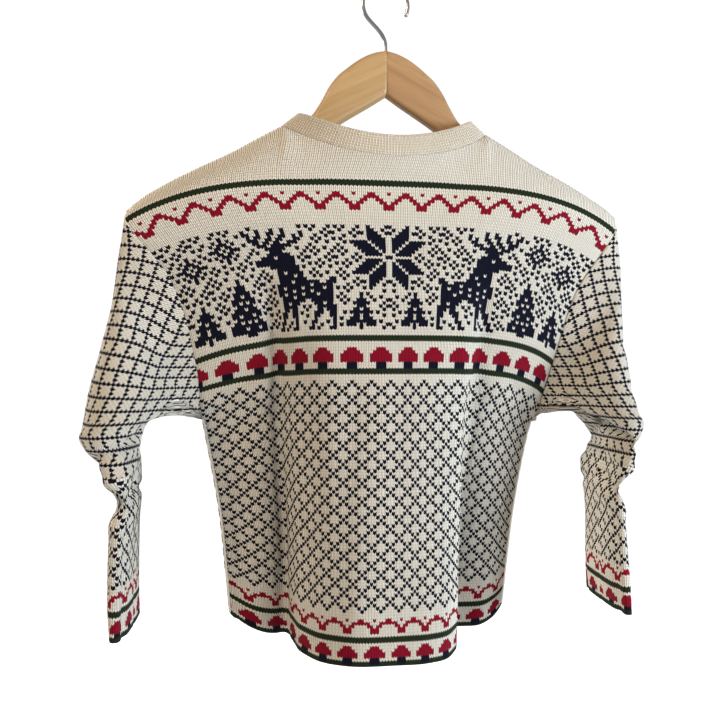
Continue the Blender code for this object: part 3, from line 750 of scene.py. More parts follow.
def new_material(name):
    """A new material, its shader and its short ways."""
    material = bpy.data.materials.new(name)
    material.use_nodes = True
    tree = material.node_tree
    return material, tree.nodes["Principled BSDF"], *node_maker(tree)


def legs_of_stitch(given, add, sum_up):
    """The place across the wales, how far it is from its wale's middle to its edge, from 0 to 1,
    and its place up, counted along the slant of the stitches' legs."""
    across, up = add("SeparateXYZ", {0: given["Stitch Place"]})[:2]
    aside = sum_up("ABSOLUTE", sum_up("SUBTRACT", sum_up("FRACT", across), 0.5))
    aside = sum_up("MULTIPLY", aside, 2)
    slanted = sum_up("MULTIPLY", sum_up("SUBTRACT", 1, aside), given["Slant"])
    return across, aside, sum_up("ADD", up, slanted)


def knit_relief_group():
    """How a stitch rises: two plump legs that lean together, with deep gaps around them."""
    tree, given, result, add, feed, sum_up = new_group(
        "knit relief",
        {"Stitch Place": "Vector", "Slant": "Float"},
        {"Height": "Float", "Gap": "Float"},
    )
    _, aside, up = legs_of_stitch(given, add, sum_up)
    along_leg = sum_up("ABSOLUTE", sum_up("SUBTRACT", sum_up("FRACT", up), 0.5))
    along_leg = sum_up("MULTIPLY", along_leg, 2)
    off_axis = sum_up("ABSOLUTE", sum_up("MULTIPLY", sum_up("SUBTRACT", aside, 0.52), 2))
    roundness = sum_up("SUBTRACT", 1, sum_up("POWER", off_axis, 2.4))
    ends = sum_up("SUBTRACT", 1, sum_up("MULTIPLY", sum_up("POWER", along_leg, 5), 0.55))
    plies = sum_up("ADD", sum_up("MULTIPLY", up, 3), sum_up("MULTIPLY", aside, 1.5))
    twist = sum_up("SINE", sum_up("MULTIPLY", plies, 6.2832))
    leg = sum_up("MULTIPLY", roundness, ends)
    height = sum_up("MULTIPLY", leg, sum_up("ADD", sum_up("MULTIPLY", twist, 0.07), 0.93))
    fuzz = add("TexNoise", {"Scale": 2.2, "Detail": 3, "Vector": given["Stitch Place"]})[0]
    height = sum_up("ADD", height, sum_up("MULTIPLY", fuzz, 0.25))
    gap = sum_up("SUBTRACT", 1, sum_up("MINIMUM", sum_up("MAXIMUM", leg, 0), 1))
    feed(result, {"Height": height, "Gap": gap})
    return tree


def yarn_colour_group():
    """A yarn's colour: a little uneven from stitch to stitch, with painted shade down in the gaps.
    """
    tree, given, result, add, feed, sum_up = new_group(
        "yarn colour",
        {"Yarn": "Color", "Stitch Place": "Vector", "Gap": "Float", "Gap Depth": "Float"},
        {"Colour": "Color"},
    )
    place = given["Stitch Place"]
    uneven = add("TexNoise", {"Scale": 0.9, "Detail": 4, "Vector": place})[0]
    wide = add("TexNoise", {"Scale": 0.06, "Vector": place})[0]
    light = sum_up("ADD", 0.88, sum_up("MULTIPLY", uneven, 0.16))
    light = sum_up("ADD", light, sum_up("MULTIPLY", wide, 0.08))
    # Painted shade: the colour is darkened where the gaps between the legs lie deep.
    gap = sum_up("MULTIPLY", given["Gap"], given["Gap Depth"])
    light = sum_up("MULTIPLY", light, sum_up("SUBTRACT", 1, gap))
    shade = add("VectorMath", {0: given["Yarn"], "Scale": light}, operation="SCALE")[0]
    feed(result, {"Colour": shade})
    return tree


knit_relief = knit_relief_group()
yarn_colour = yarn_colour_group()


def wool(name, colour, gap_shade, slant=0.0):
    """A matt, slightly hairy wool in one colour."""
    material, shader, add, feed, _ = new_material(name)
    place = add("UVMap", {}, uv_map="stitches")[0]
    relief = add("Group", {"Slant": slant, "Stitch Place": place}, node_tree=knit_relief)
    # The gap shade paints shade into the colour in the gaps between the stitches.
    yarn = {"Yarn": (*colour, 1), "Gap Depth": gap_shade, "Gap": relief["Gap"]}
    tint = add("Group", {"Stitch Place": place, **yarn}, node_tree=yarn_colour)[0]
    rise = {"Distance": 0.9 * MM, "Strength": 0.9, "Height": relief["Height"]}
    feed(shader, {
        "Base Color": tint,
        "Normal": add("Bump", rise)[0],
        "Roughness": 0.92,
        "Specular IOR Level": 0.1,
        "Sheen Weight": 0.02,
        "Sheen Roughness": 0.5,
    })
    return material


CREAM = (0.86, 0.80, 0.68)
NAVY = (0.004, 0.005, 0.017)
# Painted shade: how much each yarn's colour is darkened in the gaps between its stitches, the
# cream's here and the others' below.
CREAM_GAP_SHADE = 0.62
wools = [
    wool("cream wool", CREAM, CREAM_GAP_SHADE),
    wool("navy wool", NAVY, 0.5),
    wool("crimson wool", (0.29, 0.003, 0.020), 0.5),
    wool("bottle green wool", (0.018, 0.028, 0.012), 0.5),
]

back_halves = np.arange(-2 * BACK_HALF_STITCHES, 2 * BACK_HALF_STITCHES + 1)[::-1]
back_shares = back_halves / (2 * BACK_HALF_STITCHES)
back_rows = np.repeat([[level.row] for level in BACK_LEVELS], len(back_shares), axis=1)
back_points, back_firsts = fall(back_lines(back_shares), back_rows)


def press(points, firsts, shares, creases, half_width, edge_ease):
    """Pushes a sheet's creases in along its normals, and fades them towards its seams."""
    below_top = (HEM_ROW - firsts) * np.linspace(0, 1, len(points))[:, None]
    pushed = lay_creases(firsts + below_top, HEM_ROW, shares, creases, half_width)
    held = smooth(below_top / 12) * edge_ease
    return points + facing_out(points) * (pushed * held)[..., None]


SEAM_EASE = 0.09
back_ease = smooth((1 - np.abs(back_shares)) / SEAM_EASE)
back_points = press(
    back_points, back_firsts, back_shares, BACK_CREASES, BACK_HALF_WIDTH, back_ease
)
# Columns run from the wearer's left to the right, and half stitches are counted up that way.
first_half = -2 * BACK_HALF_STITCHES
back = knit("back_knit", back_points, back_firsts, HEM_ROW, first_half, body_yarn, 11, wools)
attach(back, "root")
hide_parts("back")

# The fronts.  Two knitted halves with the back's patterns, which meet it row for row at the side
# seams, and are cut out for the round neck.  The right one lies lower along its edge, where it
# goes under the upper band.
FRONT_WIDTH = 216 * MM
BAND_HALF_WIDTH = 13 * MM
FRONT_FIRST_HALF = 8
FrontLevel = namedtuple("FrontLevel", "edge_y middle_y middle_z fold")
# One row for each of the back's levels: what the fronts have of their own there.
FRONT_LEVELS = [
    level._replace(drawn=0.0, **own._asdict())
    for level, own in zip(BACK_LEVELS, table(FrontLevel, """
-11.5 -54 -196 0
-22 -63 -262 0
-30 -72 -326 0.15
-30 -77 -375 0.31
-18 -79 -388 0.35
-28 -85 -486 0.7
-36 -92 -598 1
"""))
]
FRONT_WALES = table(Wale, """
0 0 0 -92
0.22 0.22 0.23 -97
0.42 0.42 0.46 -80
0.62 0.62 0.65 -49
0.84 0.84 0.9 -62
1 1 1 -36
""")
FRONT_CREASES = table(Crease, """
0.625 56 0.62 168 8 -2.5
0.54 66 0.5 168 10 1.8
0.94 84 0.64 64 8 -1.6
0.96 94 0.7 86 8 -1.4
0.3 90 0.26 156 16 -1.4
0.16 40 0.33 72 16 -1.2
0.84 112 0.9 164 10 1.5
0.42 12 0.3 40 12 -1.2
""")
NECK_DEPTH = -56 * MM
FRONT_NECK = (BAND_HALF_WIDTH, NECK_DEPTH, -222 * MM, 1.1)
TUCKED = 2.9 * MM
TUCK_REACH = 34 * MM
MEETING_COLUMNS = 16


def tuck(points):
    """Sinks the right front's edge under the upper band."""
    near = smooth(1 - (np.abs(points[..., 0]) - BAND_HALF_WIDTH) / TUCK_REACH)
    moved = points.copy()
    moved[..., 1] += TUCKED * near * (points[..., 1] < -40 * MM)
    return moved


def front_lines(side, shares):
    """A front's lines of control points, with each line's rows of knitting."""
    tip = TIP_LEFT if side > 0 else TIP_RIGHT
    top, turn, in_neck = top_edge(shares, tip, side, FRONT_NECK)
    mirrored = [wale._replace(share=-wale.share, high=-wale.high, gathered=-wale.gathered)
                for wale in FRONT_WALES[::-1]]
    wales = FRONT_WALES if side > 0 else mirrored
    levels = []
    for level in FRONT_LEVELS:
        levels.append(level_points(level, wales, side * shares, BAND_HALF_WIDTH))
        levels[-1][0, 0] = side * BAND_HALF_WIDTH
    # Under the neck the yoke's level is drawn down, so that it stays below the seam.
    yoke, chest = levels[:2]
    sink = (yoke[:, 2] - top[:, 2] + 15 * MM) / (yoke[:, 2] - chest[:, 2])
    sink = np.clip(sink, 0, 1)
    levels[0] = yoke + (chest - yoke) * sink[:, None]
    rows = np.repeat([[level.row] for level in FRONT_LEVELS], len(shares), axis=1)
    rows[0] = rows[0] + (rows[1] - rows[0]) * sink
    return np.array(crest_rows(top, levels[0], turn, in_neck, -1) + levels), rows


def meet_side_seam(points, firsts, edge, edge_first):
    """Draws a front's last wales to the back's side seam, below the armpit."""
    steps = np.linspace(0, 1, len(points))
    number = firsts[-1] + (HEM_ROW - firsts[-1]) * steps
    edge_number = edge_first + (HEM_ROW - edge_first) * steps
    below = smooth((number - ARMPIT_ROW + 2) / 2)[:, None]
    gap = (between(number, edge_number, edge) - points[:, -1]) * below
    reach = smooth(1 - np.arange(points.shape[1])[::-1] / MEETING_COLUMNS)
    return points + gap[:, None, :] * reach[None, :, None]


front_halves = np.arange(FRONT_FIRST_HALF, 2 * BACK_HALF_STITCHES + 1)
front_shares = (front_halves - FRONT_FIRST_HALF) / (front_halves[-1] - FRONT_FIRST_HALF)
front_ease = smooth((1 - front_shares) / SEAM_EASE) * smooth(front_shares / 0.12)
fronts = {}
for side, front_name in ((1, "front_left"), (-1, "front_right")):
    points, firsts = fall(*front_lines(side, front_shares))
    column = 0 if side > 0 else -1
    points = meet_side_seam(points, firsts, back_points[:, column], back_firsts[column])
    # The right front's columns run from its side seam to its edge.
    shares, ease = front_shares[::side], front_ease[::side]
    if side < 0:
        points, firsts = tuck(points)[:, ::-1], firsts[::-1]
    points = press(points, firsts, shares, FRONT_CREASES, FRONT_WIDTH, ease)
    fronts[side] = (points, firsts)
    name = front_name + "_knit"
    first_half = FRONT_FIRST_HALF if side > 0 else -2 * BACK_HALF_STITCHES
    front = knit(name, points, firsts, HEM_ROW, first_half, body_yarn, 12 + side, wools)
    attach(front, "root")
    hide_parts(front_name)

# The sleeves.  Each is one knitted tube in the lattice, with the hem's patterns at its cuff and
# its seam below.  It is set into the armhole square to the seam and hangs straight down, so its
# wales run on the bias to the elbow, where the cloth folds over, and straight below it.
SLEEVE_STITCHES = 68
SLEEVE_STITCH_WIDTH = 3.05 * MM
BIAS_ROWS = 104
BIAS_SPREAD = 0.25
# How far down and across half a stitch reaches on the bias, in mm, and how strongly and down to
# what depth its level lines droop.
BIAS_HEIGHT = 1.92
BIAS_WIDTH = 2.1
DROOP = 0.0042
DROOP_END = 430
ELBOW = -436 * MM
CUFF_ROW = 52
CROOK = 6
FOREARM_RING = 8
LEFT_TWIST = 0.11

Ring = namedtuple(
    "Ring", "outer_z left right inner_z inner_left inner_right back front tilt twist"
)
# One row for each ring of the sleeves, in mm: the height of its outer side and its reach on the
# left and the right sleeve, the same for its side towards the body, how far it stands back and
# forward, how much its back drops, and by what share of its depth the right sleeve's ring turns
# about the upright.
SLEEVE_RINGS = table(Ring, """
-252 235 227 -394 171 157 21 -32 0 0.06
-296 241 226 -390 182 167 32 -39 0 0.06
-336 251 227 -389 195 183 41 -44 0 0.06
-378 261 229 -394 208 199 47 -47 0 0.08
-412 263 230 -411 216 211 50 -49 0 0.13
-436 245 221 -434 220 211 49 -50 2 0.24
-453 235 214 -452 217 203 47 -49 3 0.27
-485 238 218 -485 220 205 50 -50 2 0.24
-545 238 222 -545 222 207 50 -50 0 0.1
-570 236 222 -570 222 210 50 -50 0 0.07
""")

# One row for each crease of a sleeve: here a share counts stitches from the outer line, to the
# back where positive, and rows count down from the fold at the elbow.
SLEEVE_CREASES = table(Crease, """
34 -22 10 -12 6 3.2
34 -15 8 -3 5 -6.4
32 -5 9 4 5 3.4
33 3 10 10 5 -4.4
31 11 12 16 6 2
-34 -21 -10 -11 6 2.8
-34 -14 -8 -2 5 -5.4
-32 -4 -9 5 5 2.8
-33 5 -10 11 5 -3.6
33 -56 10 -42 8 -1.6
34 -38 14 -26 7 -1.8
-33 -54 -12 -38 8 -1.6
20 14 22 52 6 -2.2
-19 16 -20 52 6 -1.6
9 12 10 50 6 1.2
""")


def sleeve_rings(side, armhole_down, armhole_up, angle):
    """The control points of a sleeve's rings, at angles from its outer line round the back."""
    on_back = angle <= math.pi
    half = np.where(on_back, angle, 2 * math.pi - angle) / math.pi
    lines = []
    for line in (armhole_down, armhole_up):
        run = run_along(line)
        lines.append(between(half, run / run[-1], line))
    armhole = np.where(on_back[:, None], lines[0], lines[1])
    rings = [armhole]
    for number, row in enumerate(SLEEVE_RINGS, 1):
        reach = row.left if side > 0 else row.right
        inner_reach = row.inner_left if side > 0 else row.inner_right
        outer = np.array([side * reach, 0, row.outer_z]) * MM
        inner = np.array([side * inner_reach, 0, row.inner_z]) * MM
        inner[1] = armhole_down[-1, 1] * max(0, 1 - number / 5)
        half_width = np.linalg.norm(outer - inner) / 2
        squareness = np.clip(half_width / (30 * MM), 0.55, 0.9)
        out = np.sign(np.cos(angle)) * np.abs(np.cos(angle)) ** squareness
        back_share = np.sign(np.sin(angle)) * np.abs(np.sin(angle)) ** 0.9
        ring = (outer + inner) / 2 + out[:, None] * (outer - inner) / 2
        depth = back_share * (np.where(back_share > 0, row.back, -row.front) * MM)
        turned = np.clip((armhole[0, 2] - row.outer_z * MM) / (190 * MM), 0, 1)
        ring[:, 0] += depth * (LEFT_TWIST if side > 0 else row.twist) * turned
        ring[:, 1] += depth
        ring[:, 2] -= back_share * row.tilt * MM
        rings.append(ring)
    return np.array(rings)


def level_run(points):
    """How far each point lies round the sleeve from its outer line, measured level."""
    middle = points.shape[1] // 2
    levels = np.arange(points[..., 2].min(), points[..., 2].max(), 4 * MM)
    runs = np.zeros(points.shape[:2])
    for columns in (range(middle, points.shape[1]), range(middle, -1, -1)):
        ring_run = np.zeros(len(levels))
        before = None
        for column in columns:
            line = points[np.argsort(points[:, column, 2]), column]
            ring = between(levels, line[:, 2], line)[:, :2]
            if before is not None:
                ring_run = ring_run + np.linalg.norm(ring - before, axis=1)
            runs[:, column] = np.interp(points[:, column, 2], levels, ring_run)
            before = ring
    return runs


def bias_places(points):
    """The stitch places of the cloth above the elbow, whose wales run down and outwards."""
    outer = points[:, points.shape[1] // 2]
    outer = outer[np.argsort(outer[:, 2])]
    reach = np.interp(points[..., 2], outer[:, 2], np.abs(outer[:, 0]))
    aside = (level_run(points) - BIAS_SPREAD * (reach - np.abs(outer[-1, 0]))) / MM
    depth = -points[..., 2] / MM
    # The lattice's level lines droop towards the inner side, most at the shoulder, and waver.
    droop = DROOP * np.minimum(aside, 75) ** 2 * smooth((DROOP_END - depth) / 160)
    wander = 1.2 * np.sin(depth / 23 + aside / 31) + 0.9 * np.sin(aside / 17 - depth / 41)
    level = (depth - droop + wander) / BIAS_HEIGHT
    upright = (aside + wander) / BIAS_WIDTH
    return np.stack([(level + upright) / 2, -(level - upright) / 2], axis=-1)


# The lattice, and the bands of the cuff.
SLEEVE_BANDS = (
    Band(-4, (7 * LATTICE)[:39], 0),
    Band(36, HEM_ZIGZAG, -4),
    Band(42, STRIPE, 0),
    Band(45, HEM_TOADSTOOL[:5], -4),
    Band(50, STRIPE, 0),
)


def sleeve_yarn(stitch, row):
    """The number of the yarn for a stitch of a sleeve: one lattice yarn above the elbow."""
    return len(YARNS) if row < 0 else YARNS.index(band_letter(SLEEVE_BANDS, stitch, row))


def lattice_group():
    """Where the lattice's navy stitches are, on cloth whose stitches aren't modelled singly."""
    tree, given, result, add, feed, sum_up = new_group(
        "lattice stitches", {"Stitch Place": "Vector", "Slant": "Float"}, {"Navy": "Float"}
    )
    across, _, up = legs_of_stitch(given, add, sum_up)
    masks = []
    # The plump navy stitches reach a little to each side.
    for operation, reach in (("ADD", -1), ("ADD", 1), ("SUBTRACT", -1), ("SUBTRACT", 1)):
        wale = sum_up("FLOOR", sum_up("ADD", across, reach * NAVY_SPREAD))
        course = sum_up("FLOOR", sum_up("ADD", up, reach * NAVY_SPREAD * 0.6))
        count = sum_up("ADD", sum_up(operation, wale, course), 600.5)
        masks.append(sum_up("LESS_THAN", sum_up("MODULO", count, 6), 1))
    feed(result, {"Navy": functools.reduce(functools.partial(sum_up, "MAXIMUM"), masks)})
    return tree


def lattice_wool():
    """The cream and navy lattice in one material, for the cloth above the elbows."""
    # Its gaps get the cream's painted shade.
    material = wool("lattice wool", CREAM, CREAM_GAP_SHADE, CHEVRON)
    add, feed, _ = node_maker(material.node_tree)
    nodes = material.node_tree.nodes
    place = next(node for node in nodes if node.bl_idname == "ShaderNodeUVMap")
    tint = next(node for node in nodes if getattr(node, "node_tree", None) == yarn_colour)
    lattice = {"Slant": CHEVRON, "Stitch Place": place.outputs[0]}
    navy = add("Group", lattice, node_tree=lattice_group())[0]
    feed(tint, {"Yarn": add("Mix", {0: navy, 6: (*CREAM, 1), 7: (*NAVY, 1)}, data_type="RGBA")[2]})
    return material


bias_wool = lattice_wool()
for side, sleeve_name in ((1, "sleeve_left"), (-1, "sleeve_right")):
    column = 0 if side > 0 else -1
    front_column = -1 if side > 0 else 0
    front_points, front_firsts = fronts[side]
    lines = []
    for sheet, first in (
        (back_points[:, column], back_firsts[column]),
        (front_points[:, front_column], front_firsts[front_column]),
    ):
        number = first + (HEM_ROW - first) * np.linspace(0, 1, len(sheet))
        at = np.append(number[number < ARMPIT_ROW], ARMPIT_ROW)
        lines.append(between(at, number, sheet))
    lines[1][-1] = lines[0][-1]
    # The stitches are spread evenly round the forearm, on its back and its front.
    fine_angle = np.linspace(0, 2 * math.pi, 1441)
    run = run_along(sleeve_rings(side, *lines, fine_angle)[FOREARM_RING])
    half = len(fine_angle) // 2
    back_run, front_run = run[: half + 1], run[half:] - run[half]
    rings = np.arange(-SLEEVE_STITCHES, SLEEVE_STITCHES + 1)
    share = np.abs(rings) / SLEEVE_STITCHES
    on_back = np.interp(share * back_run[-1], back_run, fine_angle[: half + 1])
    on_front = np.interp((1 - share) * front_run[-1], front_run, fine_angle[half:])
    angle = np.where(rings >= 0, on_back, on_front)
    known_rows = np.repeat([[-BIAS_ROWS], [0], [CUFF_ROW]], len(angle), axis=1)
    points, firsts = fall(sleeve_rings(side, *lines, angle), known_rows, [0, CROOK, -1])
    stitches = rings / 2
    row = np.linspace(-BIAS_ROWS, CUFF_ROW, len(points))[:, None]
    below_elbow = (ELBOW - points[..., 2]) / ROW_HEIGHT
    pushed = lay_creases(below_elbow, CUFF_ROW, stitches, SLEEVE_CREASES, SLEEVE_STITCH_WIDTH)
    seam_ease = smooth((row + BIAS_ROWS) / 10) * smooth((34.5 - np.abs(stitches)) / 3)
    points = points + side * facing_out(points, True) * (pushed * seam_ease)[..., None]
    points[:, -1] = points[:, 0]
    # Columns run round so that the outer side faces out.
    points = points[:, ::side]
    name = sleeve_name + "_knit"
    yarns = (sleeve_yarn, 20 + side, [*wools, bias_wool], bias_places(points))
    sleeve = knit(name, points, firsts, CUFF_ROW, -SLEEVE_STITCHES, *yarns)
    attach(sleeve, "root")
    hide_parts(sleeve_name)

# The neckband.  A narrow band in one by one rib, picked up round the neck seam, knitted double
# height and turned in on itself, so its upper edge is round.
NECKBAND_HEIGHT = 19 * MM
RIB_PITCH = 2.8 * MM
RIB_RISE = 0.7 * MM


def neck_line():
    """The neck seam from the left band round the back to the right band."""
    turn = 1 - (1 - np.linspace(0, 1, 40)) ** 1.6
    left = neck_seam(turn, *FRONT_NECK)
    back_left = neck_seam(turn, *BACK_NECK)
    mirror = np.array([-1, 1, 1])
    right = tuck(left * mirror)
    back_right = back_left * mirror
    return np.vstack([left, back_left[-2::-1], back_right[1:], right[-2::-1]])


def neckband_rise(seam):
    """The way that the neckband stands up from its seam: it leans in most at the shoulders."""
    side = (np.abs(seam[:, 0]) / NECK_AT_CREST) ** 5
    inward = unit(seam * np.array([-1, -1, 0]))
    front = np.clip(seam[:, 1] / NECK_DEPTH, 0, 1)
    lean = 0.12 + 0.66 * side + 0.1 * front
    rise = np.sqrt(1 - lean**2)
    direction = inward * lean[:, None] + np.array([0, 0, 1]) * rise[:, None]
    run = unit(np.gradient(seam, axis=0))
    direction = unit(direction - run * (direction * run).sum(axis=1, keepdims=True))
    direction[0, :2] = (0, direction[0, 1])
    direction[-1, :2] = (0, direction[-1, 1])
    return direction


def grid_mesh(name, points, uv, material):
    """A closed band of faces over a grid: rows run round its section, columns along it."""
    points, uv = np.array(points), np.array(uv)
    around, length = points.shape[:2]
    faces = []
    uvs = []
    for row in range(around):
        after = (row + 1) % around
        for column in range(length - 1):
            corners = ((row, column), (after, column), (after, column + 1), (row, column + 1))
            faces.append(tuple(a * length + b for a, b in corners))
            uvs.append(np.array([uv[a, b] for a, b in corners]))
    for column in (0, length - 1):
        faces.append(tuple(row * length + column for row in range(around)))
        uvs.append(np.array([uv[row, column] for row in range(around)]))
    return shapes_mesh(name, points.reshape(-1, 3), faces, uvs, np.zeros(len(faces)), [material])


# The rib's gaps are darkened a little less than the body's cream: painted shade.
cream_rib = wool("cream rib", (0.89, 0.80, 0.65), 0.55)
seam = neck_line()
rise = neckband_rise(seam)
lengths = run_along(seam)
ribs = 2 * round(lengths[-1] / RIB_PITCH / 2)
at = np.linspace(0, lengths[-1], 8 * ribs + 1)
fine_seam = along(lengths, seam, at)
fine_rise = unit(along(lengths, rise, at))
outward = unit(np.cross(np.gradient(fine_seam, axis=0), fine_rise))
if outward[len(outward) // 2, 1] < 0:
    outward = -outward
ridge = RIB_RISE * (np.abs(np.sin(math.pi * at / lengths[-1] * ribs)) ** 0.8 - 0.5)
ridge[[0, -1]] = 0
# The section's points: how far up the band, how much of the ribs, and how far into the cloth.
section = [(share, 1.0, 0.0) for share in np.linspace(0.0, 0.93, 9)]
section += [(0.975, 0.9, 0.25), (1.0, 0.5, 0.5), (0.975, 0.3, 0.8)]
section += [(share, 0.0, 1.0) for share in np.linspace(0.93, 0.0, 5)]
rows = []
uv = []
for share, ribbed, depth in section:
    held = ribbed * smooth(share / 0.12) if depth < 0.5 else ribbed
    rows.append(
        fine_seam
        + fine_rise * (share * NECKBAND_HEIGHT)
        + outward * (ridge * held - depth * CLOTH)[:, None]
    )
    uv.append(np.stack([at / lengths[-1] * ribs, np.full(len(at), share * 8.0 + depth)], 1))
neckband = grid_mesh("neckband_rib", rows, uv, cream_rib)
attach(neckband, "root")
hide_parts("neckband")

# The button bands.  Two narrow bands picked up along the fronts' edges: the upper one in ribs
# that run its length, the under one plain, and the two lie flat on each other.
BAND_RIBS = 9


def band_spine(edge, neck_top):
    """The line down the middle of the front that the bands follow, from neckband to hem."""
    line = np.vstack([neck_top[None, :], edge])
    line[:, 0] = 0
    lengths = run_along(line)
    coarse = np.linspace(0, lengths[-1], 19)
    at = np.linspace(0, lengths[-1], 145)
    spine = along(coarse, along(lengths, line, coarse), at)
    slope = np.gradient(spine, at, axis=0)
    return spine, unit(np.stack([np.zeros(len(at)), slope[:, 2], -slope[:, 1]], axis=1)), at


neck_top = seam[0] + rise[0] * NECKBAND_HEIGHT
spine, spine_out, spine_at = band_spine(fronts[1][0][::8, 0], neck_top)


def button_band(name, node, lift, rise_by):
    """One band: its ribbed face, its plain back and its edges, carried down the spine."""
    half_width = BAND_HALF_WIDTH - 0.15 * MM
    place = np.linspace(0, BAND_RIBS, 8 * BAND_RIBS + 1)
    across = np.linspace(-half_width, half_width, len(place))
    shape = np.abs(np.sin(math.pi * place)) ** 0.8
    face = np.stack([across, lift + rise_by * shape, place], 1)
    back_across = np.linspace(half_width, -half_width, 7)
    plain = np.stack([back_across, np.full(7, lift - 2.4 * MM), np.linspace(BAND_RIBS, 0, 7)], 1)
    rows = []
    uv = []
    for x, out, place in np.vstack([face, plain]):
        rows.append(spine + np.array([x, 0, 0]) + spine_out * out)
        uv.append(np.stack([np.full(len(spine), place), -spine_at / ROW_HEIGHT], 1))
    band = grid_mesh(name, rows, uv, cream_rib)
    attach(band, "root")
    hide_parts(node)


button_band("button_band_left_rib", "button_band_left", 0.0, RIB_RISE)
button_band("button_band_right_rib", "button_band_right", -TUCKED, 0.15 * MM)

# The buttons.  Six moulded navy buttons with a raised rim and four holes, sewn through the upper
# band with cream thread.
BUTTONS = 6
# How far the holes' middles are from the button's middle lines, in mm.
HOLE_PLACE = 1.7
HOLE_RADIUS = 0.85 * MM
WELL_RADIUS = 4.6 * MM
WELL_HEIGHT = 1.3 * MM
# In mm, the radius and height of the rim's rings, from the well to the underside.
RIM = (
    (4.9, 1.35), (5.3, 1.7), (5.7, 2.2), (6.2, 2.5), (6.8, 2.6), (7.4, 2.45),
    (7.8, 2.0), (8.0, 1.4), (7.9, 0.8), (7.5, 0.3), (6.8, 0.0),
)
# In mm, how far across and up a thread's turns are, from one hole to the next.
THREAD_PATH = (
    (-1.7, 0.4), (-1.62, 1.3), (-1.2, 1.75), (0, 1.9), (1.2, 1.75), (1.62, 1.3), (1.7, 0.4)
)


def tones(add, mask, first, second):
    """A colour between two, as the mask says."""
    return add("Mix", {0: mask, 6: (*first, 1), 7: (*second, 1)}, data_type="RGBA")[2]


def clouded(name, scale, detail, colours, dullness, metallic):
    """A hard smooth material, a little clouded in its colour and its shine."""
    material, shader, add, feed, _ = new_material(name)
    place = add("TexCoord", {})["Object"]
    cloud = add("TexNoise", {"Scale": scale, "Detail": detail, "Vector": place})[0]
    low, high = dullness
    feed(shader, {
        "Base Color": tones(add, cloud, *colours),
        "Roughness": add("MapRange", {"To Min": low, "To Max": high, "Value": cloud})[0],
        "Metallic": metallic,
    })
    return material


def thread_material():
    """Twisted cream sewing thread."""
    material, shader, add, feed, _ = new_material("cream thread")
    turns = {"Scale": 1100, "Vector": add("TexCoord", {})["Object"]}
    # Painted shade: the twist shows as diagonal bands of darker cream, the shade in the grooves
    # between the plies.
    twist = add("TexWave", turns, wave_type="BANDS", bands_direction="DIAGONAL")[0]
    colour = tones(add, twist, (0.55, 0.48, 0.36), (0.80, 0.74, 0.62))
    feed(shader, {"Base Color": colour, "Roughness": 0.7})
    return material


def button_mesh():
    """A four-hole button: a dished middle, a rounded rim and a flat underside."""
    work = bmesh.new()
    sides = 48
    edges = []
    rings = [(0, 0, WELL_RADIUS, sides)]
    rings += [(x, y, HOLE_RADIUS, 14) for x, y in ((1, 1), (-1, 1), (-1, -1), (1, -1))]
    for x, y, radius, count in rings:
        ring = []
        for i in range(count):
            angle = 2 * math.pi * i / count
            across = x * HOLE_PLACE * MM + radius * math.cos(angle)
            up = y * HOLE_PLACE * MM + radius * math.sin(angle)
            ring.append(work.verts.new((across, up, WELL_HEIGHT)))
        edges += [work.edges.new((ring[i], ring[(i + 1) % count])) for i in range(count)]
    bmesh.ops.triangle_fill(work, edges=edges, use_beauty=True, normal=(0, 0, 1))
    bored = bmesh.ops.extrude_edge_only(work, edges=edges[sides:])["geom"]
    sunk = [part for part in bored if isinstance(part, bmesh.types.BMVert)]
    bmesh.ops.translate(work, verts=sunk, vec=(0, 0, -WELL_HEIGHT))
    ring_edges = edges[:sides]
    for radius, height in RIM:
        grown = bmesh.ops.extrude_edge_only(work, edges=ring_edges)["geom"]
        ring_edges = [part for part in grown if isinstance(part, bmesh.types.BMEdge)
                      and all(vertex in grown for vertex in part.verts)]
        for vertex in {v for edge in ring_edges for v in edge.verts}:
            scale = radius * MM / math.hypot(vertex.co.x, vertex.co.y)
            vertex.co = (vertex.co.x * scale, vertex.co.y * scale, height * MM)
    bottom_holes = [edge for edge in work.edges if edge.is_boundary]
    bmesh.ops.triangle_fill(work, edges=bottom_holes, use_beauty=True, normal=(0, 0, -1))
    bmesh.ops.recalc_face_normals(work, faces=work.faces)
    mesh = bpy.data.meshes.new("button")
    work.to_mesh(mesh)
    work.free()
    mesh.shade_smooth()
    mesh.set_sharp_from_angle(angle=math.radians(45))
    return mesh


def round_tube(name, path, flat_way, radius, sides, material):
    """A round tube along a path that lies in one plane; flat_way is square to that plane."""
    across = np.cross(unit(np.gradient(path, axis=0)), flat_way)
    rows = [
        path + (across * math.cos(turn) + np.array(flat_way) * math.sin(turn)) * radius
        for turn in np.linspace(0, 2 * math.pi, sides, endpoint=False)
    ]
    return grid_mesh(name, rows, np.zeros((sides, len(path), 2)), material)


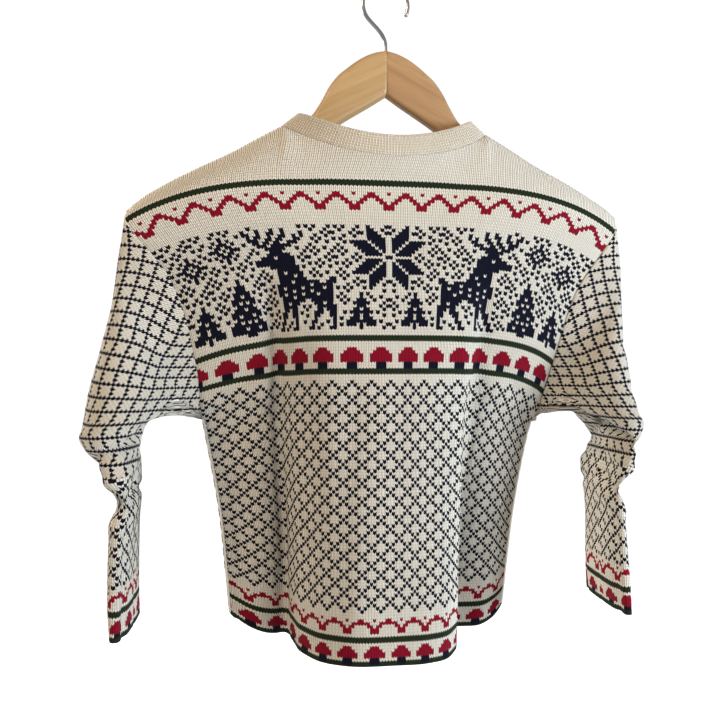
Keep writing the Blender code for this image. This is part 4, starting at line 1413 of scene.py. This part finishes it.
navy_tones = ((0.006, 0.008, 0.030), (0.014, 0.017, 0.055))
navy_plastic = clouded("navy button", 260, 4, navy_tones, (0.24, 0.46), 0.0)
cream_thread = thread_material()
button_spots = np.linspace(11 * MM, spine_at[-1] - 16 * MM, BUTTONS)
button_places = along(spine_at, spine, button_spots)
button_facings = unit(along(spine_at, spine_out, button_spots))
for number in range(BUTTONS):
    out = button_facings[number]
    mesh = button_mesh()
    mesh.materials.append(navy_plastic)
    button = bpy.data.objects.new(f"button_{number + 1}_moulded", mesh)
    bpy.context.collection.objects.link(button)
    button.rotation_euler = (math.atan2(-out[1], out[2]), 0, 0)
    button.location = button_places[number] + out * (RIB_RISE + 0.3 * MM)
    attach(button, "root")
    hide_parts(f"button_{number + 1}")
    for thread_number, hold in ((1, -HOLE_PLACE), (2, HOLE_PLACE)):
        path = np.array([(x, hold, z) for x, z in THREAD_PATH]) * MM
        thread_name = f"button_{number + 1}_thread_{thread_number}"
        thread = round_tube(thread_name, path, (0, 1, 0), 0.34 * MM, 8, cream_thread)
        thread.parent = button

# The hanger's arms.  Two flat pieces of light hardwood with rounded edges, mitred and glued in
# the middle under a clear satin lacquer, the right one cut from a redder board.
ARM_THICKNESS = 14 * MM
ARM_REACH = 211 * MM
ARM_END = 5 * MM


def wood_grain_group():
    """Long fine grain and pores, drawn along the arm."""
    tree, given, result, add, feed, sum_up = new_group(
        "wood grain", {"Place": "Vector", "Board": "Float"}, {"Grain": "Float", "Pores": "Float"}
    )
    noises = []
    for scale, detail, roughness in (((9, 150, 1), 5, 0.6), ((55, 1900, 1), 2, 0.5)):
        stretch = add("VectorMath", {0: given["Place"], 1: scale}, operation="MULTIPLY")[0]
        shift = add("CombineXYZ", {0: given["Board"], 2: given["Board"]})[0]
        place = add("VectorMath", {0: stretch, 1: shift}, operation="ADD")[0]
        fineness = {"Scale": 1, "Detail": detail, "Roughness": roughness, "Distortion": 0.4}
        noises.append(add("TexNoise", {"Vector": place, **fineness})[0])
    feed(result, {"Grain": noises[0], "Pores": sum_up("GREATER_THAN", noises[1], 0.66)})
    return tree


wood_grain = wood_grain_group()


def lacquered_wood(name, light, dark, board):
    """One board's wood under its lacquer."""
    material, shader, add, feed, sum_up = new_material(name)
    place = add("UVMap", {}, uv_map="stitches")[0]
    grain = add("Group", {"Board": board, "Place": place}, node_tree=wood_grain)
    ramp = {"From Min": 0.32, "From Max": 0.68, "Value": grain["Grain"]}
    tone = tones(add, add("MapRange", ramp)[0], light, dark)
    pore = (*(0.7 * part for part in dark), 1)
    flecks = sum_up("MULTIPLY", grain["Pores"], 0.5)
    feed(shader, {
        "Base Color": add("Mix", {0: flecks, 6: tone, 7: pore}, data_type="RGBA")[2],
        "Normal": add("Bump", {"Distance": 0.1 * MM, "Strength": 0.3, "Height": grain["Grain"]})[0],
        "Roughness": 0.42,
        "Coat Weight": 0.35,
        "Coat Roughness": 0.22,
    })
    return material


def hanger_arm(name, node, side, material):
    """One arm: rounded sections along its length, from the mitre to its rounded end."""
    at = np.concatenate([
        np.linspace(0.15 * MM, 78 * MM, 40),
        np.linspace(81 * MM, ARM_REACH - ARM_END, 34),
        ARM_REACH - ARM_END * (1 - np.sin(np.linspace(0.2, 1, 7) * math.pi / 2)),
    ])
    top, bottom = arm_edges(at).T
    half = ARM_THICKNESS / 2
    rounding = np.minimum(half, (top - bottom) / 2)
    middle = (top + bottom) / 2
    past_straight = np.clip(at - (ARM_REACH - ARM_END), 0, None)
    tip = np.sqrt(np.clip(1 - (past_straight / (5.4 * MM)) ** 2, 0, 1))
    rows = []
    uv = []
    for turn in np.linspace(0, 2 * math.pi, 32, endpoint=False) + math.pi / 32:
        edge = top - rounding if math.sin(turn) > 0 else bottom + rounding
        out = math.copysign(abs(math.cos(turn)) ** 0.8, math.cos(turn))
        height = middle + (edge + rounding * math.sin(turn) - middle) * tip
        depth = half * out * (0.62 + 0.38 * tip)
        rows.append(np.stack([side * at, depth, height], axis=1))
        grain_up = height + 0.5 * at + 0.02 * math.cos(turn)
        uv.append(np.stack([at / math.cos(0.45), grain_up], axis=1))
    arm = grid_mesh(name, rows, uv, material)
    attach(arm, "root")
    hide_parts(node)


pale_board = lacquered_wood("pale board", (0.55, 0.35, 0.155), (0.43, 0.26, 0.105), 3.7)
red_board = lacquered_wood("redder board", (0.47, 0.275, 0.12), (0.36, 0.19, 0.078), 8.2)
hanger_arm("hanger_arm_left_wood", "hanger_arm_left", 1, pale_board)
hanger_arm("hanger_arm_right_wood", "hanger_arm_right", -1, red_board)

# The hook.  Plated steel wire, bent in one plane and pressed into a bore at the mitre.
HOOK_WIRE_RADIUS = 1.75 * MM
HOOK_INNER_RADIUS = 19 * MM
HOOK_START = math.radians(-42)
HOOK_TURN = math.radians(247)
HOOK_BEND = 11 * MM


def hook_path():
    """The wire's middle line: a straight shank, a short bend out, and most of a turn."""
    radius = HOOK_INNER_RADIUS + HOOK_WIRE_RADIUS
    angles = HOOK_START + HOOK_TURN * np.linspace(0, 1, 64)
    turn = np.stack([np.cos(angles), 0 * angles, np.sin(angles)], axis=1) * radius
    turn[:, 2] -= HOOK_INNER_RADIUS
    shank = np.array([[0, 0, -83.7], [0, 0, -66], [0, 0, -57]]) * MM
    leave = shank[-1] + np.array([0, 0, HOOK_BEND])
    heading = np.array([-math.sin(HOOK_START), 0, math.cos(HOOK_START)])
    arrive = turn[0] - heading * HOOK_BEND
    u = np.linspace(0, 1, 20)[1:-1, None]
    bend = shank[-1] * (1 - u) ** 3 + 3 * leave * u * (1 - u) ** 2
    bend = bend + 3 * arrive * u * u * (1 - u) + turn[0] * u**3
    return np.vstack([shank, bend, turn])


# Bright plating, with dull patches where it is handled.
steel_tones = ((0.46, 0.46, 0.45), (0.34, 0.34, 0.34))
plated_steel = clouded("plated steel", 120, 5, steel_tones, (0.16, 0.38), 1.0)
hook = round_tube("hanger_hook_wire", hook_path(), (0, 1, 0), HOOK_WIRE_RADIUS, 16, plated_steel)
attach(hook, "root")
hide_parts("hanger_hook")

# The room: a pale paper floor that glows to the camera, under a pale sky of light, with a cool
# key from the garment's right, a warm fill from its left, a light on its front for the views from
# there, and the camera at the photograph's angle.
FLOOR = -1.2


def aim(placed, target):
    """Turns a light or a camera to face a point."""
    way = Vector(target) - Vector(placed.location)
    placed.rotation_euler = way.to_track_quat("-Z", "Y").to_euler()


def soft_light(name, place, target, size, power, colour):
    """A square soft light that faces a point."""
    lamp = bpy.data.lights.new(name, "AREA")
    lamp.size = size
    lamp.energy = power
    lamp.color = colour
    placed = bpy.data.objects.new(name, lamp)
    placed.location = place
    bpy.context.collection.objects.link(placed)
    aim(placed, target)


floor_mesh = bpy.data.meshes.new("floor")
corners = [(-8, -8, FLOOR), (8, -8, FLOOR), (8, 8, FLOOR), (-8, 8, FLOOR)]
floor_mesh.from_pydata(corners, [], [(0, 1, 2, 3)])
floor = bpy.data.objects.new("floor", floor_mesh)
bpy.context.collection.objects.link(floor)
paper, shader, add, feed, sum_up = new_material("pale paper")
mottle = add("TexNoise", {"Scale": 40})[0]
on_camera = add("LightPath", {})["Is Camera Ray"]
feed(shader, {
    "Base Color": add("MapRange", {"To Min": 0.86, "To Max": 0.90, "Value": mottle})[0],
    "Roughness": 0.9,
    "Emission Color": (1, 1, 1, 1),
    "Emission Strength": sum_up("MULTIPLY", on_camera, 0.75),
})
floor_mesh.materials.append(paper)
floor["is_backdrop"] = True

world = bpy.data.worlds.new("studio")
world.use_nodes = True
add, feed, sum_up = node_maker(world.node_tree)
seen = sum_up("MULTIPLY", add("LightPath", {})["Is Camera Ray"], 0.7)
sky = {"Color": (0.96, 0.97, 1.0, 1), "Strength": sum_up("ADD", seen, 0.39)}
feed(world.node_tree.nodes["Background"], sky)
bpy.context.scene.world = world
bpy.context.scene.view_settings.view_transform = "Standard"

soft_light("cool key", (-1.44, 0.90, -0.25), (0, 0, -0.35), 0.6, 33, (0.76, 0.87, 1.0))
soft_light("warm fill", (1.15, 1.0, 0.85), (0, 0, -0.2), 0.8, 19, (1.0, 0.74, 0.45))
soft_light("front light", (1.1, -1.6, 0.5), (0, 0, -0.35), 0.8, 34, (1.0, 0.98, 0.95))

eye = bpy.data.cameras.new("camera")
eye.lens = 44
eye.sensor_width = 36
eye.shift_y = -4 / 720
eye.dof.use_dof = False
camera = bpy.data.objects.new("camera", eye)
camera.location = (0.1617, 0.784, -0.338)
turned = math.radians(10)
aim(camera, camera.location - Vector((math.sin(turned), math.cos(turned), 0)))
bpy.context.collection.objects.link(camera)
bpy.context.scene.camera = camera

boxes = {"cad": cad_box, "visual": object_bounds()}
{name: np.array(box).tolist() for name, box in boxes.items()}
